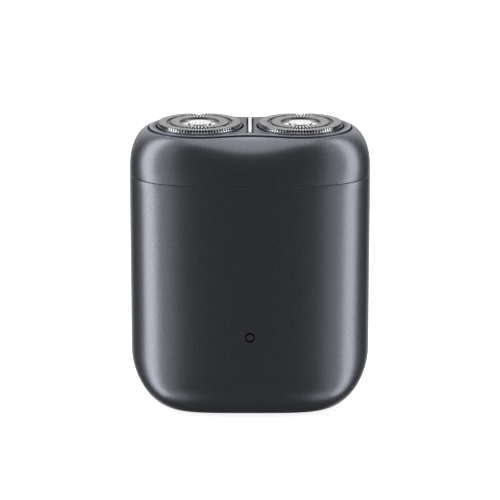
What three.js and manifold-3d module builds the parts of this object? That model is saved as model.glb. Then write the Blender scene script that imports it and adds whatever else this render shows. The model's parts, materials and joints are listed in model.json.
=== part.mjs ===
// A pocket rotary shaver with two round shaving heads, built as an assembly of separate pieces.
// Millimetres, +Z up. The origin is the middle of the flat base; -Y is the front, where the button is.

import * as THREE from "three";
import { mergeVertices } from "three/addons/utils/BufferGeometryUtils.js";
import Module from "manifold-3d";

const wasm = await Module();
wasm.setup();

// ---------- driving dimensions ----------
const HALF_WIDTH = 34; // casing, at its widest
const HALF_DEPTH = 20;
const SECTION_POWER = 2.74; // exponent of the superellipse that the casing's cross-section is
const BASE_POWER = 4.3; // the section gets squarer down to the base
const TAPER = 0.32; // the sides lean in by this much from TAPER_TOP down to the base
const TAPER_TOP = 60;
const CORNER_RISE = 16.4; // bottom corners, seen from the front: an elliptical quarter
const CORNER_RUN = 14.3;
const EDGE_RISE = 9.1; // bottom edge, seen from the side
const EDGE_RUN = 7;
const SEAM = 67.2; // where the head unit meets the body
const SEAM_GAP = 0.3;
const SHOULDER = 69.2; // the top shoulder is an elliptical quarter that starts here
const SHOULDER_RISE = 11.45;
const RIM = 80.1; // top edge of the head shell
const PLATE_TOP = 80.6;
const PLATE_THICK = 1.2;
const PLATE_BOTTOM = PLATE_TOP - PLATE_THICK;
const WALL = 1.6;
const FLOOR = 1.8;
const FIT = 0.3; // gap between pieces that are cut from one another
const SNUG = 0.1; // gap between pieces that rest on one another

const HEAD_X = 14.25; // each shaving head's axis is this far from the middle
const LOBE_X = 14.3; // the top plate is two lobes with a waist between them
const LOBE_Y = 13.9;
const WAIST_Y = 11.75;
const RIM_WIDTH = 0.4;
const GROOVE = 0.35; // gap between the top plate and the head shell
const HEAD_HOLE = 12.45; // radius of each round opening in the top plate

const GUARD_R = 12;
const GUARD_TOP = 81.8;
const GUARD_WALL = 0.4;
const GUARD_BOTTOM = 77.2;
const PIVOT_Z = 78; // height of the two pins that each guard rocks on
const FLOAT_TRAVEL = 1; // how far a shaving head can be pressed in

const BUTTON_Z = 23.9;
const RING_R = 1.4; // dark ring round the button's cap
const CAP_R = 0.85;
const BUTTON_HOLE = 1.47;
const BUTTON_STEM_Y = -17.35; // the back end of the button, just clear of the switch

const GEAR_MODULE = 0.75;
const PINION_TEETH = 12;
const GEAR_TEETH = 26; // (12 + 26) teeth at module 0.75 put the gears 14.25 from the motor's axis
const GEAR_Z = 57;
const GEAR_THICK = 2.5;
const PRESSURE_ANGLE = THREE.MathUtils.degToRad(20);
const TOOTH_THINNING = 0.12;

const MOTOR_R = 10.2;
const MOTOR_BOTTOM = 27;
const MOTOR_TOP = 53.7;
const MOUNT_Z = 54; // the chassis plate that carries the motor and the gear shafts
const MOUNT_THICK = 2;
const DECK_Z = 64.2; // the sealed deck that closes the body
const DECK_THICK = 2.2;
const DECK_TOP = DECK_Z + DECK_THICK;
const BOARD_Y = -14.8;

const RING_STEPS = 36; // facets round the casing
const INNER_STEPS = 24; // facets round the frames inside it
const SIDES = [
  ["left", -1],
  ["right", 1],
];
const ENDS = [
  ["front", -1],
  ["rear", 1],
];

// ---------- materials ----------
const finish = (color, roughness, metalness) =>
  new THREE.MeshStandardMaterial({ color, roughness, metalness });
const GRAPHITE = finish(0x3a3c42, 0.38, 0.7);
const PLATE_GREY = finish(0x7b7f89, 0.45, 0.6);
const BLACK_PLASTIC = finish(0x17181a, 0.6, 0);
const DARK_PLASTIC = finish(0x2b2c30, 0.65, 0);
const WHITE_PLASTIC = finish(0xd9d9d4, 0.5, 0);
const BLADE_STEEL = finish(0xc9cbd0, 0.22, 1);
const POLISHED_STEEL = finish(0xe6e7ea, 0.08, 1);
const SPRING_STEEL = finish(0xa8abb2, 0.3, 1);
const ZINC_STEEL = finish(0xb4b7bb, 0.35, 1);
const BRASS = finish(0xb8923f, 0.35, 1);
const SILICONE = finish(0x2f3236, 0.75, 0);
const BOARD_GREEN = finish(0x17563a, 0.5, 0);
const CELL_WRAP = finish(0x2f66a5, 0.45, 0);
const LIGHT_GUIDE = finish(0x0b0c0e, 0.2, 0);

// ---------- helpers: primitives in the part's own frame ----------
const V2 = (x, y) => new THREE.Vector2(x, y);

function solid(geometry) {
  const bare = new THREE.BufferGeometry();
  bare.setAttribute("position", geometry.getAttribute("position"));
  if (geometry.index) bare.setIndex(geometry.index);
  const merged = mergeVertices(bare, 1e-4);
  return new wasm.Manifold(
    new wasm.Mesh({
      numProp: 3,
      vertProperties: merged.attributes.position.array,
      triVerts: new Uint32Array(merged.index.array),
    }),
  );
}

function geometryOf(manifold) {
  const mesh = manifold.getMesh();
  const geometry = new THREE.BufferGeometry();
  geometry.setAttribute("position", new THREE.BufferAttribute(mesh.vertProperties, 3));
  geometry.setIndex(new THREE.BufferAttribute(mesh.triVerts, 1));
  return geometry;
}

const cut = (body, ...tools) =>
  geometryOf(tools.reduce((rest, tool) => rest.subtract(solid(tool)), solid(body)));
const join = (...pieces) =>
  geometryOf(pieces.map(solid).reduce((all, piece) => all.add(piece)));

// A profile of [radius, height] pairs turned about the Z axis.
function turned(profile, steps = 16) {
  const points = profile.map(([radius, height]) => V2(radius, height));
  return new THREE.LatheGeometry(points, steps).rotateX(Math.PI / 2);
}

const rod = (radius, low, high, steps = 12) =>
  new THREE.CylinderGeometry(radius, radius, high - low, steps)
    .rotateX(Math.PI / 2)
    .translate(0, 0, (low + high) / 2);

const tube = (outer, inner, low, high, steps = 16) =>
  turned(
    [
      [inner, low],
      [outer, low],
      [outer, high],
      [inner, high],
      [inner, low],
    ],
    steps,
  );

// A rod that lies along Y.
const crossRod = (radius, from, to, steps = 12) =>
  new THREE.CylinderGeometry(radius, radius, to - from, steps).translate(0, (from + to) / 2, 0);

const block = (width, depth, low, high) =>
  new THREE.BoxGeometry(width, depth, high - low).translate(0, 0, (low + high) / 2);

function roundedRectangle(width, height, radius) {
  const x = width / 2 - radius;
  const y = height / 2 - radius;
  const shape = new THREE.Shape();
  shape.absarc(x, y, radius, 0, Math.PI / 2);
  shape.absarc(-x, y, radius, Math.PI / 2, Math.PI);
  shape.absarc(-x, -y, radius, Math.PI, 1.5 * Math.PI);
  shape.absarc(x, -y, radius, 1.5 * Math.PI, 2 * Math.PI);
  return shape;
}

const prism = (shape, low, high, curveSegments = 3) =>
  new THREE.ExtrudeGeometry(shape, {
    depth: high - low,
    bevelEnabled: false,
    curveSegments,
  }).translate(0, 0, low);

// ---------- the casing's surface ----------
const quarter = (t) => Math.sqrt(Math.max(0, 1 - t * t));

// Points crowd at a superellipse's corners, so the angle is first shifted away from them.
function superellipse(angle, halfWidth, halfDepth, power) {
  const spread = angle - 0.14 * Math.sin(4 * angle);
  const c = Math.cos(spread);
  const s = Math.sin(spread);
  return V2(
    halfWidth * Math.sign(c) * Math.abs(c) ** (2 / power),
    halfDepth * Math.sign(s) * Math.abs(s) ** (2 / power),
  );
}

// The casing's outer section at height z, before the top shoulder.
function bodySection(angle, z, inset = 0) {
  const corner = Math.max(0, 1 - z / CORNER_RISE);
  const edge = Math.max(0, 1 - z / EDGE_RISE);
  const lean = TAPER * Math.max(0, 1 - z / TAPER_TOP);
  const halfWidth = HALF_WIDTH - lean - CORNER_RUN * (1 - quarter(corner));
  const halfDepth = HALF_DEPTH - EDGE_RUN * (1 - quarter(edge));
  const power = SECTION_POWER + (BASE_POWER - SECTION_POWER) * corner ** 2;
  return superellipse(angle, halfWidth - inset, halfDepth - inset, power);
}

// Half the depth of the two-lobed outline at a distance x from the middle.
function lobeDepth(x, grow) {
  if (x <= HEAD_X) {
    const swell = (1 + Math.cos((Math.PI * x) / HEAD_X)) / 2;
    return LOBE_Y + grow - (LOBE_Y - WAIST_Y) * swell;
  }
  return (LOBE_Y + grow) * quarter((x - HEAD_X) / (LOBE_X + grow));
}

// The top plate's two-lobed outline, grown all round.
function lobedOutline(angle, grow = 0) {
  const edge = superellipse(angle, HEAD_X + LOBE_X + grow, 1, SECTION_POWER);
  return V2(edge.x, Math.sign(Math.sin(angle)) * lobeDepth(Math.abs(edge.x), grow));
}

// The head shell's section: the body's section drawn in over the shoulder to the lobed outline.
function headSection(angle, z, inset = 0) {
  const full = bodySection(angle, z, inset);
  const rise = Math.max(0, (z - SHOULDER) / SHOULDER_RISE);
  const atRim = (RIM - SHOULDER) / SHOULDER_RISE;
  const drawnIn = (1 - quarter(rise)) / (1 - quarter(atRim));
  return full.lerp(lobedOutline(angle, GROOVE + RIM_WIDTH - inset), drawnIn);
}

// A closed solid whose section at each height is given by a function of the angle round it.
function lofted(heights, sectionAt, steps = RING_STEPS) {
  const low = heights[0];
  const high = heights.at(-1);
  const geometry = turned([[0, low], ...heights.map((z) => [1, z]), [0, high]], steps);
  const position = geometry.getAttribute("position");
  for (let i = 0; i < position.count; i++) {
    const x = position.getX(i);
    const y = position.getY(i);
    if (Math.hypot(x, y) < 0.5) continue; // the two ends on the axis stay there
    const edge = sectionAt(Math.atan2(y, x), position.getZ(i));
    position.setXY(i, edge.x, edge.y);
  }
  return geometry;
}

const steps = (count) => [...Array(count + 1).keys()].map((k) => k / count);

// Heights that follow the bottom corner's curve, from the given floor up to the given top.
const bodyHeights = (low, high, count) => [
  low,
  ...steps(count)
    .map((k) => CORNER_RISE * (1 - Math.cos((k * Math.PI) / 2)))
    .filter((z) => z > low + 0.2),
  high,
];

const headHeights = (low, high, count) => {
  const last = Math.asin((high - SHOULDER) / SHOULDER_RISE);
  return [low, ...steps(count).map((k) => SHOULDER + SHOULDER_RISE * Math.sin(k * last))];
};

const outlineShape = (pointAt, count = RING_STEPS) =>
  new THREE.Shape(steps(count).slice(0, -1).map((k) => pointAt(k * 2 * Math.PI)));

// A wire's section: a regular polygon.
const wireSection = (radius, corners) =>
  outlineShape((a) => V2(radius * Math.cos(a), radius * Math.sin(a)), corners);

// ---------- the assembly ----------
const shaver = new THREE.Group();

function add(name, geometry, material, x = 0, y = 0) {
  const mesh = new THREE.Mesh(geometry, material);
  mesh.name = name;
  mesh.position.set(x, y, 0);
  shaver.add(mesh);
}

// ---------- body casing ----------
function bodyShell() {
  const outside = lofted(bodyHeights(0, SEAM, 6), (a, z) => bodySection(a, z));
  const inside = lofted(bodyHeights(FLOOR, SEAM + 1, 4), (a, z) => bodySection(a, z, WALL));
  const buttonHole = crossRod(BUTTON_HOLE, -25, -10).translate(0, 0, BUTTON_Z);
  const portHole = prism(roundedRectangle(9.6, 3.9, 1.9), -1, FLOOR + 1);
  return cut(outside, inside, buttonHole, portHole);
}
add("body_shell", bodyShell(), GRAPHITE);

// ---------- button, light ring and switch ----------
const BUTTON_FACE_Y = -HALF_DEPTH;
const FLANGE_Y = -18.1;

function buttonCap() {
  return crossRod(CAP_R, BUTTON_FACE_Y, BUTTON_STEM_Y).translate(0, 0, BUTTON_Z);
}

function lightRing() {
  const barrel = crossRod(RING_R, BUTTON_FACE_Y, FLANGE_Y + 0.5);
  const flange = crossRod(RING_R + 1, FLANGE_Y, FLANGE_Y + 0.5);
  const bore = crossRod(CAP_R + 0.05, -25, -10);
  return cut(join(barrel, flange), bore).translate(0, 0, BUTTON_Z);
}

add("button_cap", buttonCap(), GRAPHITE);
add("light_ring", lightRing(), LIGHT_GUIDE);
add(
  "button_seal",
  cut(crossRod(3.8, -18.2, -16.8), crossRod(2.8, -19, -16)).translate(0, 0, BUTTON_Z),
  SILICONE,
);

const onBoard = (geometry, x, z) => geometry.rotateX(Math.PI / 2).translate(x, 0, z);
add(
  "main_board",
  onBoard(prism(roundedRectangle(32, 36, 2), -(BOARD_Y + 0.8), -BOARD_Y), 0, 31),
  BOARD_GREEN,
);
add(
  "tact_switch",
  onBoard(
    join(block(3.4, 3.4, -BOARD_Y + SNUG, -BOARD_Y + 1.5), rod(0.7, -BOARD_Y + 1, -BOARD_Y + 2.1)),
    0,
    BUTTON_Z,
  ),
  ZINC_STEEL,
);
add(
  "status_led",
  onBoard(block(0.8, 1.6, -BOARD_Y + SNUG, -BOARD_Y + 0.8), 2.6, BUTTON_Z),
  WHITE_PLASTIC,
);

// ---------- charging socket ----------
const SOCKET_MOUTH = 0.6;
const SOCKET_BACK = 8;
function usbReceptacle() {
  const can = prism(roundedRectangle(8.94, 3.2, 1.5), SOCKET_MOUTH, SOCKET_BACK);
  const mouth = prism(roundedRectangle(8.34, 2.6, 1.2), 0, SOCKET_BACK - 0.6);
  return join(cut(can, mouth), block(6.7, 0.7, SOCKET_MOUTH + 0.9, SOCKET_BACK - 0.3));
}
add("usb_receptacle", usbReceptacle(), ZINC_STEEL);

function roundedRing(outerWidth, outerDepth, innerWidth, innerDepth, low, high) {
  const outer = roundedRectangle(outerWidth, outerDepth, outerDepth / 2 - 0.05);
  outer.holes.push(roundedRectangle(innerWidth, innerDepth, innerDepth / 2 - 0.05));
  return prism(outer, low, high);
}
add("port_gasket", roundedRing(13, 7.2, 9.5, 3.7, FLOOR + SNUG, 4), SILICONE);
add("usb_board", prism(roundedRectangle(20, 12, 1.5), SOCKET_BACK + SNUG, 9), BOARD_GREEN);

// ---------- motor ----------
const MOTOR_SCREW_Y = 7;
function motorCan() {
  const wall = 0.8;
  const can = turned([
    [MOTOR_R - wall, MOTOR_BOTTOM],
    [MOTOR_R, MOTOR_BOTTOM],
    [MOTOR_R, MOTOR_TOP - 0.6],
    [MOTOR_R - 0.6, MOTOR_TOP],
    [3.1, MOTOR_TOP],
    [3.1, MOTOR_TOP + 1.7],
    [1.3, MOTOR_TOP + 1.7],
    [1.3, MOTOR_TOP - wall],
    [MOTOR_R - wall, MOTOR_TOP - wall],
    [MOTOR_R - wall, MOTOR_BOTTOM],
  ]);
  const screwHoles = [-1, 1].map((side) =>
    rod(1.15, MOTOR_TOP - 2, MOTOR_TOP + 1, 12).translate(0, side * MOTOR_SCREW_Y, 0),
  );
  return cut(can, ...screwHoles);
}
add("motor_can", motorCan(), ZINC_STEEL);
add("motor_end_cap", tube(MOTOR_R - 0.1, 1.3, MOTOR_BOTTOM - 2, MOTOR_BOTTOM - SNUG), BLACK_PLASTIC);

const motorRotor = turned(
  [
    [0, 25.4],
    [1, 25.4],
    [1, 32],
    [8.2, 32],
    [8.2, 47],
    [1, 47],
    [1, GEAR_Z + GEAR_THICK + 0.9],
    [0, GEAR_Z + GEAR_THICK + 0.9],
  ],
  24,
);
add("motor_rotor", motorRotor, SPRING_STEEL);

function screw(headRadius, headLow, headHigh, shankRadius, shankEnd) {
  const flipped = shankEnd > headHigh;
  const profile = flipped
    ? [
        [0, headLow],
        [headRadius, headLow],
        [headRadius, headHigh],
        [shankRadius, headHigh],
        [shankRadius, shankEnd],
        [0, shankEnd],
      ]
    : [
        [0, shankEnd],
        [shankRadius, shankEnd],
        [shankRadius, headLow],
        [headRadius, headLow],
        [headRadius, headHigh],
        [0, headHigh],
      ];
  const recessLow = flipped ? headLow - 1 : headHigh - 0.5;
  return cut(turned(profile, 12), rod(headRadius / 2, recessLow, recessLow + 1.5, 6));
}

for (const [place, side] of ENDS)
  add(
    `motor_screw_${place}`,
    screw(1.8, MOUNT_Z + MOUNT_THICK + SNUG, MOUNT_Z + MOUNT_THICK + 1, 0.85, MOTOR_TOP - 1),
    ZINC_STEEL,
    0,
    side * MOTOR_SCREW_Y,
  );

// ---------- gears ----------
const involute = (angle) => Math.tan(angle) - angle;

// Involute teeth; the first tooth is centred on the angle `start`.
function gearShape(teeth, bore, start) {
  const pitch = (teeth * GEAR_MODULE) / 2;
  const base = pitch * Math.cos(PRESSURE_ANGLE);
  const root = pitch - 1.3 * GEAR_MODULE;
  const tip = pitch + 0.85 * GEAR_MODULE;
  const halfTooth = (radius) => {
    const pressure = Math.acos(Math.min(1, base / radius));
    const thinned = Math.PI / (2 * teeth) - TOOTH_THINNING / (2 * pitch);
    return thinned + involute(PRESSURE_ANGLE) - involute(pressure);
  };
  const radii = base > root + 0.1 ? [root, base, tip] : [root, tip];
  const points = [];
  for (let tooth = 0; tooth < teeth; tooth++) {
    const middle = start + (tooth * 2 * Math.PI) / teeth;
    const flank = radii.map((r) => [r, halfTooth(Math.max(r, base))]);
    const rising = flank.map(([r, half]) => [r, middle - half]);
    const falling = flank.map(([r, half]) => [r, middle + half]).reverse();
    for (const [r, a] of [...rising, ...falling]) points.push(V2(r * Math.cos(a), r * Math.sin(a)));
  }
  const shape = new THREE.Shape(points);
  shape.holes.push(new THREE.Path().absarc(0, 0, bore, 0, 2 * Math.PI, true));
  return shape;
}

add(
  "pinion",
  prism(gearShape(PINION_TEETH, 1.3, 0), GEAR_Z - 0.4, GEAR_Z + GEAR_THICK + 0.4, 8),
  BRASS,
);
for (const [name, side] of SIDES) {
  const facing = side < 0 ? 0 : Math.PI; // the direction of the pinion, where a gap has to be
  const shape = gearShape(GEAR_TEETH, 1.8, facing + Math.PI / GEAR_TEETH);
  add(`drive_gear_${name}`, prism(shape, GEAR_Z, GEAR_Z + GEAR_THICK, 8), WHITE_PLASTIC, side * HEAD_X);
}

// ---------- spindles: shaft, bush, lip seal, sprung drive cap ----------
const COLLAR_TOP = 69.2;
const SHAFT_TOP = 73.8;
const CAP_BOTTOM = 70.5;
const CAP_TOP = 75.6;
const TIP_TOP = 78.3;
const SPRING_TOP = 74;

const spindleShaft = () =>
  join(
    turned(
      [
        [0, MOUNT_Z + 0.6],
        [1.5, MOUNT_Z + 0.6],
        [1.5, COLLAR_TOP - 0.5],
        [2.9, COLLAR_TOP - 0.5],
        [2.9, COLLAR_TOP],
        [0, COLLAR_TOP],
      ],
    ),
    rod(1.5, COLLAR_TOP - 0.2, SHAFT_TOP, 6),
  );

const driveCap = () =>
  cut(
    join(rod(3.4, CAP_BOTTOM, CAP_TOP), rod(2.1, CAP_TOP - 0.5, TIP_TOP, 6)),
    rod(2.8, CAP_BOTTOM - 1, SPRING_TOP + 0.1),
    rod(1.85, SPRING_TOP - 1, CAP_TOP - 0.4, 6),
  );

// A coil spring with plain ends, wound round the Z axis.
class Helix extends THREE.Curve {
  constructor(radius, low, high, turns) {
    super();
    Object.assign(this, { radius, low, high, turns });
  }
  getPoint(t, target = new THREE.Vector3()) {
    const angle = t * this.turns * 2 * Math.PI;
    const height = this.low + (this.high - this.low) * t;
    return target.set(this.radius * Math.cos(angle), this.radius * Math.sin(angle), height);
  }
}

function coilSpring(radius, wire, low, high, turns) {
  return new THREE.ExtrudeGeometry(wireSection(wire, 4), {
    steps: turns * 8,
    extrudePath: new Helix(radius, low + wire, high - wire, turns),
  });
}

for (const [name, side] of SIDES) {
  const x = side * HEAD_X;
  add(`spindle_shaft_${name}`, spindleShaft(), SPRING_STEEL, x);
  add(`spindle_bush_${name}`, tube(3.1, 1.8, DECK_Z - 1.8, DECK_TOP - 0.2), BRASS, x);
  add(`lip_seal_${name}`, tube(3.2, 1.75, DECK_TOP + SNUG, DECK_TOP + 1.5), SILICONE, x);
  add(`drive_cap_${name}`, driveCap(), WHITE_PLASTIC, x);
  add(`cap_spring_${name}`, coilSpring(2.25, 0.25, COLLAR_TOP + SNUG, SPRING_TOP, 4), SPRING_STEEL, x);
}

// ---------- chassis: motor mount, battery cradle, deck posts ----------
const CELL_X = -21.3;
const CELL_R = 7;
const CELL_BOTTOM = 11;
const CELL_TOP = 53.4;
const POST_X = 28.5;

function chassis() {
  const mount = prism(
    outlineShape((a) => bodySection(a, MOUNT_Z, WALL + 0.5), INNER_STEPS),
    MOUNT_Z,
    MOUNT_Z + MOUNT_THICK,
  );
  const cradle = cut(
    rod(CELL_R + 1.5, CELL_BOTTOM - 0.5, MOUNT_Z + 0.5),
    rod(CELL_R + FIT, CELL_BOTTOM - 2, MOUNT_Z - SNUG),
    block(20, 20, 0, MOUNT_Z - SNUG).translate(8, 0, 0),
    block(30, 20, 0, MOUNT_Z - SNUG).translate(0, -13, 0),
  ).translate(CELL_X, 0, 0);
  const leg = block(3, 3, 10, MOUNT_Z + 0.5).translate(20, 10, 0);
  const posts = [-1, 1].map((side) =>
    rod(2.2, MOUNT_Z + 1, DECK_Z - SNUG, 16).translate(side * POST_X, 0, 0),
  );
  const holes = [
    rod(3.5, MOUNT_Z - 1, MOUNT_Z + MOUNT_THICK + 1),
    ...[-1, 1].flatMap((side) => [
      rod(1.8, MOUNT_Z + 0.4, MOUNT_Z + MOUNT_THICK + 1, 16).translate(side * HEAD_X, 0, 0),
      rod(1.1, MOUNT_Z - 1, MOUNT_Z + MOUNT_THICK + 1, 12).translate(0, side * MOTOR_SCREW_Y, 0),
      rod(1.3, MOUNT_Z + 1.5, DECK_Z, 12).translate(side * POST_X, 0, 0),
    ]),
  ];
  return cut(join(mount, cradle, leg, ...posts), ...holes);
}
add("chassis", chassis(), DARK_PLASTIC);

const cell = turned([
  [0, CELL_BOTTOM],
  [CELL_R - 0.4, CELL_BOTTOM],
  [CELL_R, CELL_BOTTOM + 0.4],
  [CELL_R, CELL_TOP - 1],
  [CELL_R - 0.4, CELL_TOP - 0.6],
  [2.7, CELL_TOP - 0.6],
  [2.7, CELL_TOP],
  [0, CELL_TOP],
]);
add("battery_cell", cell, CELL_WRAP, CELL_X);

// Insulated leads from the cell to the main board, on smooth routes clear of the motor.
const LEAD_R = 0.5;
function lead(points) {
  const curve = new THREE.CatmullRomCurve3(points.map((p) => new THREE.Vector3(...p)));
  return new THREE.ExtrudeGeometry(wireSection(LEAD_R, 6), { steps: 10, extrudePath: curve });
}
add(
  "battery_lead_positive",
  lead([
    [-18.6, -8.1, 51],
    [-17.6, -9.4, 49.5],
    [-15.5, -11.4, 47.5],
    [-13, -12.6, 46],
    [-10.5, -13.2, 45.5],
  ]),
  finish(0x9c2020, 0.5, 0),
);
add(
  "battery_lead_negative",
  lead([
    [-18.6, -8.1, 13.5],
    [-17.6, -9.4, 15],
    [-15.5, -11.4, 17],
    [-13, -12.6, 18.5],
    [-10.5, -13.2, 19],
  ]),
  BLACK_PLASTIC,
);

// ---------- sealed deck ----------
const MAGNET_Y = 12;
const MAGNET_R = 2.5;
const SPIGOT_TOP = 69.4; // the spigot inside the seam centres the head unit
function deck() {
  const flange = prism(
    outlineShape((a) => bodySection(a, DECK_Z, WALL + 0.3), INNER_STEPS),
    DECK_Z,
    DECK_TOP,
  );
  const spigot = cut(
    prism(outlineShape((a) => bodySection(a, SEAM, WALL + 0.35), INNER_STEPS), DECK_TOP - 0.5, SPIGOT_TOP),
    prism(outlineShape((a) => bodySection(a, SEAM, WALL + 1.6), INNER_STEPS), DECK_TOP - 1, SPIGOT_TOP + 1),
  );
  const sealGroove = cut(
    prism(outlineShape((a) => bodySection(a, DECK_Z, 0), INNER_STEPS), DECK_Z + 0.6, DECK_Z + 1.6),
    prism(outlineShape((a) => bodySection(a, DECK_Z, WALL + 1.2), INNER_STEPS), DECK_Z, DECK_TOP),
  );
  const bosses = [-1, 1].map((side) =>
    rod(4.6, DECK_Z - 2, DECK_TOP + 1.8).translate(side * HEAD_X, 0, 0),
  );
  const holes = [-1, 1].flatMap((side) => [
    rod(3.5, DECK_Z - 3, DECK_TOP + 1.6).translate(side * HEAD_X, 0, 0),
    rod(2, DECK_Z - 3, DECK_TOP + 3).translate(side * HEAD_X, 0, 0),
    rod(MAGNET_R + FIT, DECK_TOP - 1.6, DECK_TOP + 1).translate(0, side * MAGNET_Y, 0),
    rod(1.2, DECK_Z - 1, DECK_TOP + 1, 16).translate(side * POST_X, 0, 0),
  ]);
  return cut(join(flange, spigot, ...bosses), sealGroove, ...holes);
}
add("deck", deck(), BLACK_PLASTIC);

function deckSeal() {
  const ring = outlineShape((a) => bodySection(a, DECK_Z, WALL + 0.25), INNER_STEPS);
  ring.holes.push(outlineShape((a) => bodySection(a, DECK_Z, WALL + 1.1), INNER_STEPS));
  return prism(ring, DECK_Z + 0.7, DECK_Z + 1.5);
}
add("deck_seal", deckSeal(), SILICONE);

for (const [name, side] of SIDES)
  add(
    `deck_screw_${name}`,
    screw(1.9, DECK_TOP + SNUG, DECK_TOP + 1.1, 0.9, 57),
    ZINC_STEEL,
    side * POST_X,
  );
for (const [place, side] of ENDS) {
  const y = side * MAGNET_Y;
  add(`magnet_${place}`, rod(MAGNET_R, DECK_TOP - 1.5, DECK_TOP), POLISHED_STEEL, 0, y);
  add(`strike_disc_${place}`, rod(MAGNET_R, DECK_TOP + 0.4, DECK_TOP + 1.6), ZINC_STEEL, 0, y);
}

// ---------- head unit: shell, top plate, centre strip, frames ----------
const SHELL_LIP = RIM - 2.1; // underside of the lip round the shell's opening
function headShell() {
  const low = SEAM + SEAM_GAP;
  const outside = lofted(headHeights(low, RIM, 6), (a, z) => headSection(a, z));
  const inside = lofted(headHeights(low - 1, SHELL_LIP, 3), (a, z) => headSection(a, z, WALL));
  const opening = prism(outlineShape((a) => lobedOutline(a, GROOVE)), RIM - 3, RIM + 1);
  return cut(outside, inside, opening);
}
add("head_shell", headShell(), GRAPHITE);

const STRIP_LENGTH = 19.2;
const STRIP_TOP = PLATE_TOP + 0.5;
const SLOT_WIDTH = 1.9;

function topPlate() {
  const chamfer = 0.3;
  const shape = outlineShape((a) => lobedOutline(a, -chamfer));
  const blank = new THREE.ExtrudeGeometry(shape, {
    depth: PLATE_THICK - 2 * chamfer,
    bevelThickness: chamfer,
    bevelSize: chamfer,
    bevelSegments: 1,
  }).translate(0, 0, PLATE_BOTTOM + chamfer);
  const slot = prism(
    roundedRectangle(SLOT_WIDTH, STRIP_LENGTH + 0.9, SLOT_WIDTH / 2 - 0.02),
    PLATE_BOTTOM - 1,
    PLATE_TOP + 1,
  );
  const openings = SIDES.map(([, side]) =>
    rod(HEAD_HOLE, PLATE_BOTTOM - 1, PLATE_TOP + 1, 36).translate(side * HEAD_X, 0, 0),
  );
  return cut(blank, slot, ...openings);
}
add("top_plate", topPlate(), PLATE_GREY);

// The strip's profile is seen from the side: a bar with both top corners rounded off.
function centreStrip() {
  const half = STRIP_LENGTH / 2;
  const foot = PLATE_BOTTOM + SNUG;
  const nose = 1.3;
  const side = new THREE.Shape();
  side.moveTo(-half, foot);
  side.lineTo(half, foot);
  side.lineTo(half, STRIP_TOP - nose);
  side.absarc(half - nose, STRIP_TOP - nose, nose, 0, Math.PI / 2);
  side.absarc(-half + nose, STRIP_TOP - nose, nose, Math.PI / 2, Math.PI);
  side.lineTo(-half, foot);
  const bar = new THREE.ExtrudeGeometry(side, { depth: 1, bevelEnabled: false, curveSegments: 6 });
  return bar.translate(0, 0, -0.5).rotateX(Math.PI / 2).rotateZ(Math.PI / 2);
}
add("centre_strip", centreStrip(), POLISHED_STEEL);

const FRAME_BORE = 13.25;
const FRAME_LOW = 75.4;
const RETAINER_LOW = 73.1;
const RETAINER_HIGH = 75.3;
const POST_R = 3.7; // two posts under the retainer reach down to the magnets
const FRAME_SCREW_Y = 6;

function plateFrame() {
  const collar = prism(
    outlineShape((a) => lobedOutline(a, -0.05)),
    FRAME_LOW + 1,
    PLATE_BOTTOM - SNUG,
  );
  const skirt = prism(
    outlineShape((a) => headSection(a, SHELL_LIP, WALL + 0.3), INNER_STEPS),
    FRAME_LOW,
    SHELL_LIP - 0.2,
  );
  const bores = SIDES.map(([, side]) =>
    rod(FRAME_BORE, FRAME_LOW - 1, PLATE_TOP, 36).translate(side * HEAD_X, 0, 0),
  );
  const screwHoles = [-1, 1].map((side) =>
    rod(1.1, FRAME_LOW - 1, 78.4, 12).translate(0, side * FRAME_SCREW_Y, 0),
  );
  return cut(join(collar, skirt), ...bores, ...screwHoles);
}
add("plate_frame", plateFrame(), BLACK_PLASTIC);

function retainerFrame() {
  const plate = prism(
    outlineShape((a) => headSection(a, RETAINER_HIGH, WALL + 0.4), INNER_STEPS),
    RETAINER_LOW,
    RETAINER_HIGH,
  );
  const posts = [-1, 1].map((side) =>
    rod(POST_R, DECK_TOP + 0.3, RETAINER_LOW + 0.5).translate(0, side * MAGNET_Y, 0),
  );
  const holes = [-1, 1].flatMap((side) => [
    rod(11.4, RETAINER_LOW - 1, RETAINER_HIGH + 1, 28).translate(side * HEAD_X, 0, 0),
    rod(MAGNET_R + FIT, DECK_TOP - 1, DECK_TOP + 1.7).translate(0, side * MAGNET_Y, 0),
    rod(1.1, RETAINER_LOW - 1, RETAINER_HIGH + 1, 12).translate(0, side * FRAME_SCREW_Y, 0),
  ]);
  return cut(join(plate, ...posts), ...holes);
}
add("retainer_frame", retainerFrame(), BLACK_PLASTIC);

for (const [place, side] of ENDS)
  add(
    `frame_screw_${place}`,
    screw(1.7, RETAINER_LOW - 1, RETAINER_LOW - SNUG, 0.85, 78),
    ZINC_STEEL,
    0,
    side * FRAME_SCREW_Y,
  );

// ---------- each shaving head ----------
// The carrier floats in the plate frame's bore, pressed up by a wave spring under it.
const CARRIER_IN = 12.3;
const CARRIER_OUT = 12.95;
const CARRIER_LOW = 76.9;
const WAVE_LOW = RETAINER_HIGH + SNUG;
const WAVE_HIGH = CARRIER_LOW - SNUG;

function carrier() {
  const ring = tube(CARRIER_OUT, CARRIER_IN, CARRIER_LOW, PLATE_BOTTOM - 0.15, 28);
  const pins = [-1, 1].map((side) =>
    crossRod(0.35, 11.75, CARRIER_IN + 0.3, 8).translate(0, 0, PIVOT_Z).rotateZ(side > 0 ? 0 : Math.PI),
  );
  return join(ring, ...pins);
}

function waveSpring() {
  const thick = 0.3;
  const waves = 4;
  const swing = (WAVE_HIGH - WAVE_LOW - thick) / 2;
  const ring = tube(12.9, 11.9, -thick / 2, thick / 2, 24);
  const position = ring.getAttribute("position");
  for (let i = 0; i < position.count; i++) {
    const angle = Math.atan2(position.getY(i), position.getX(i));
    const lift = (WAVE_LOW + WAVE_HIGH) / 2 + swing * Math.cos(waves * angle);
    position.setZ(i, position.getZ(i) + lift);
  }
  return ring;
}

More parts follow.
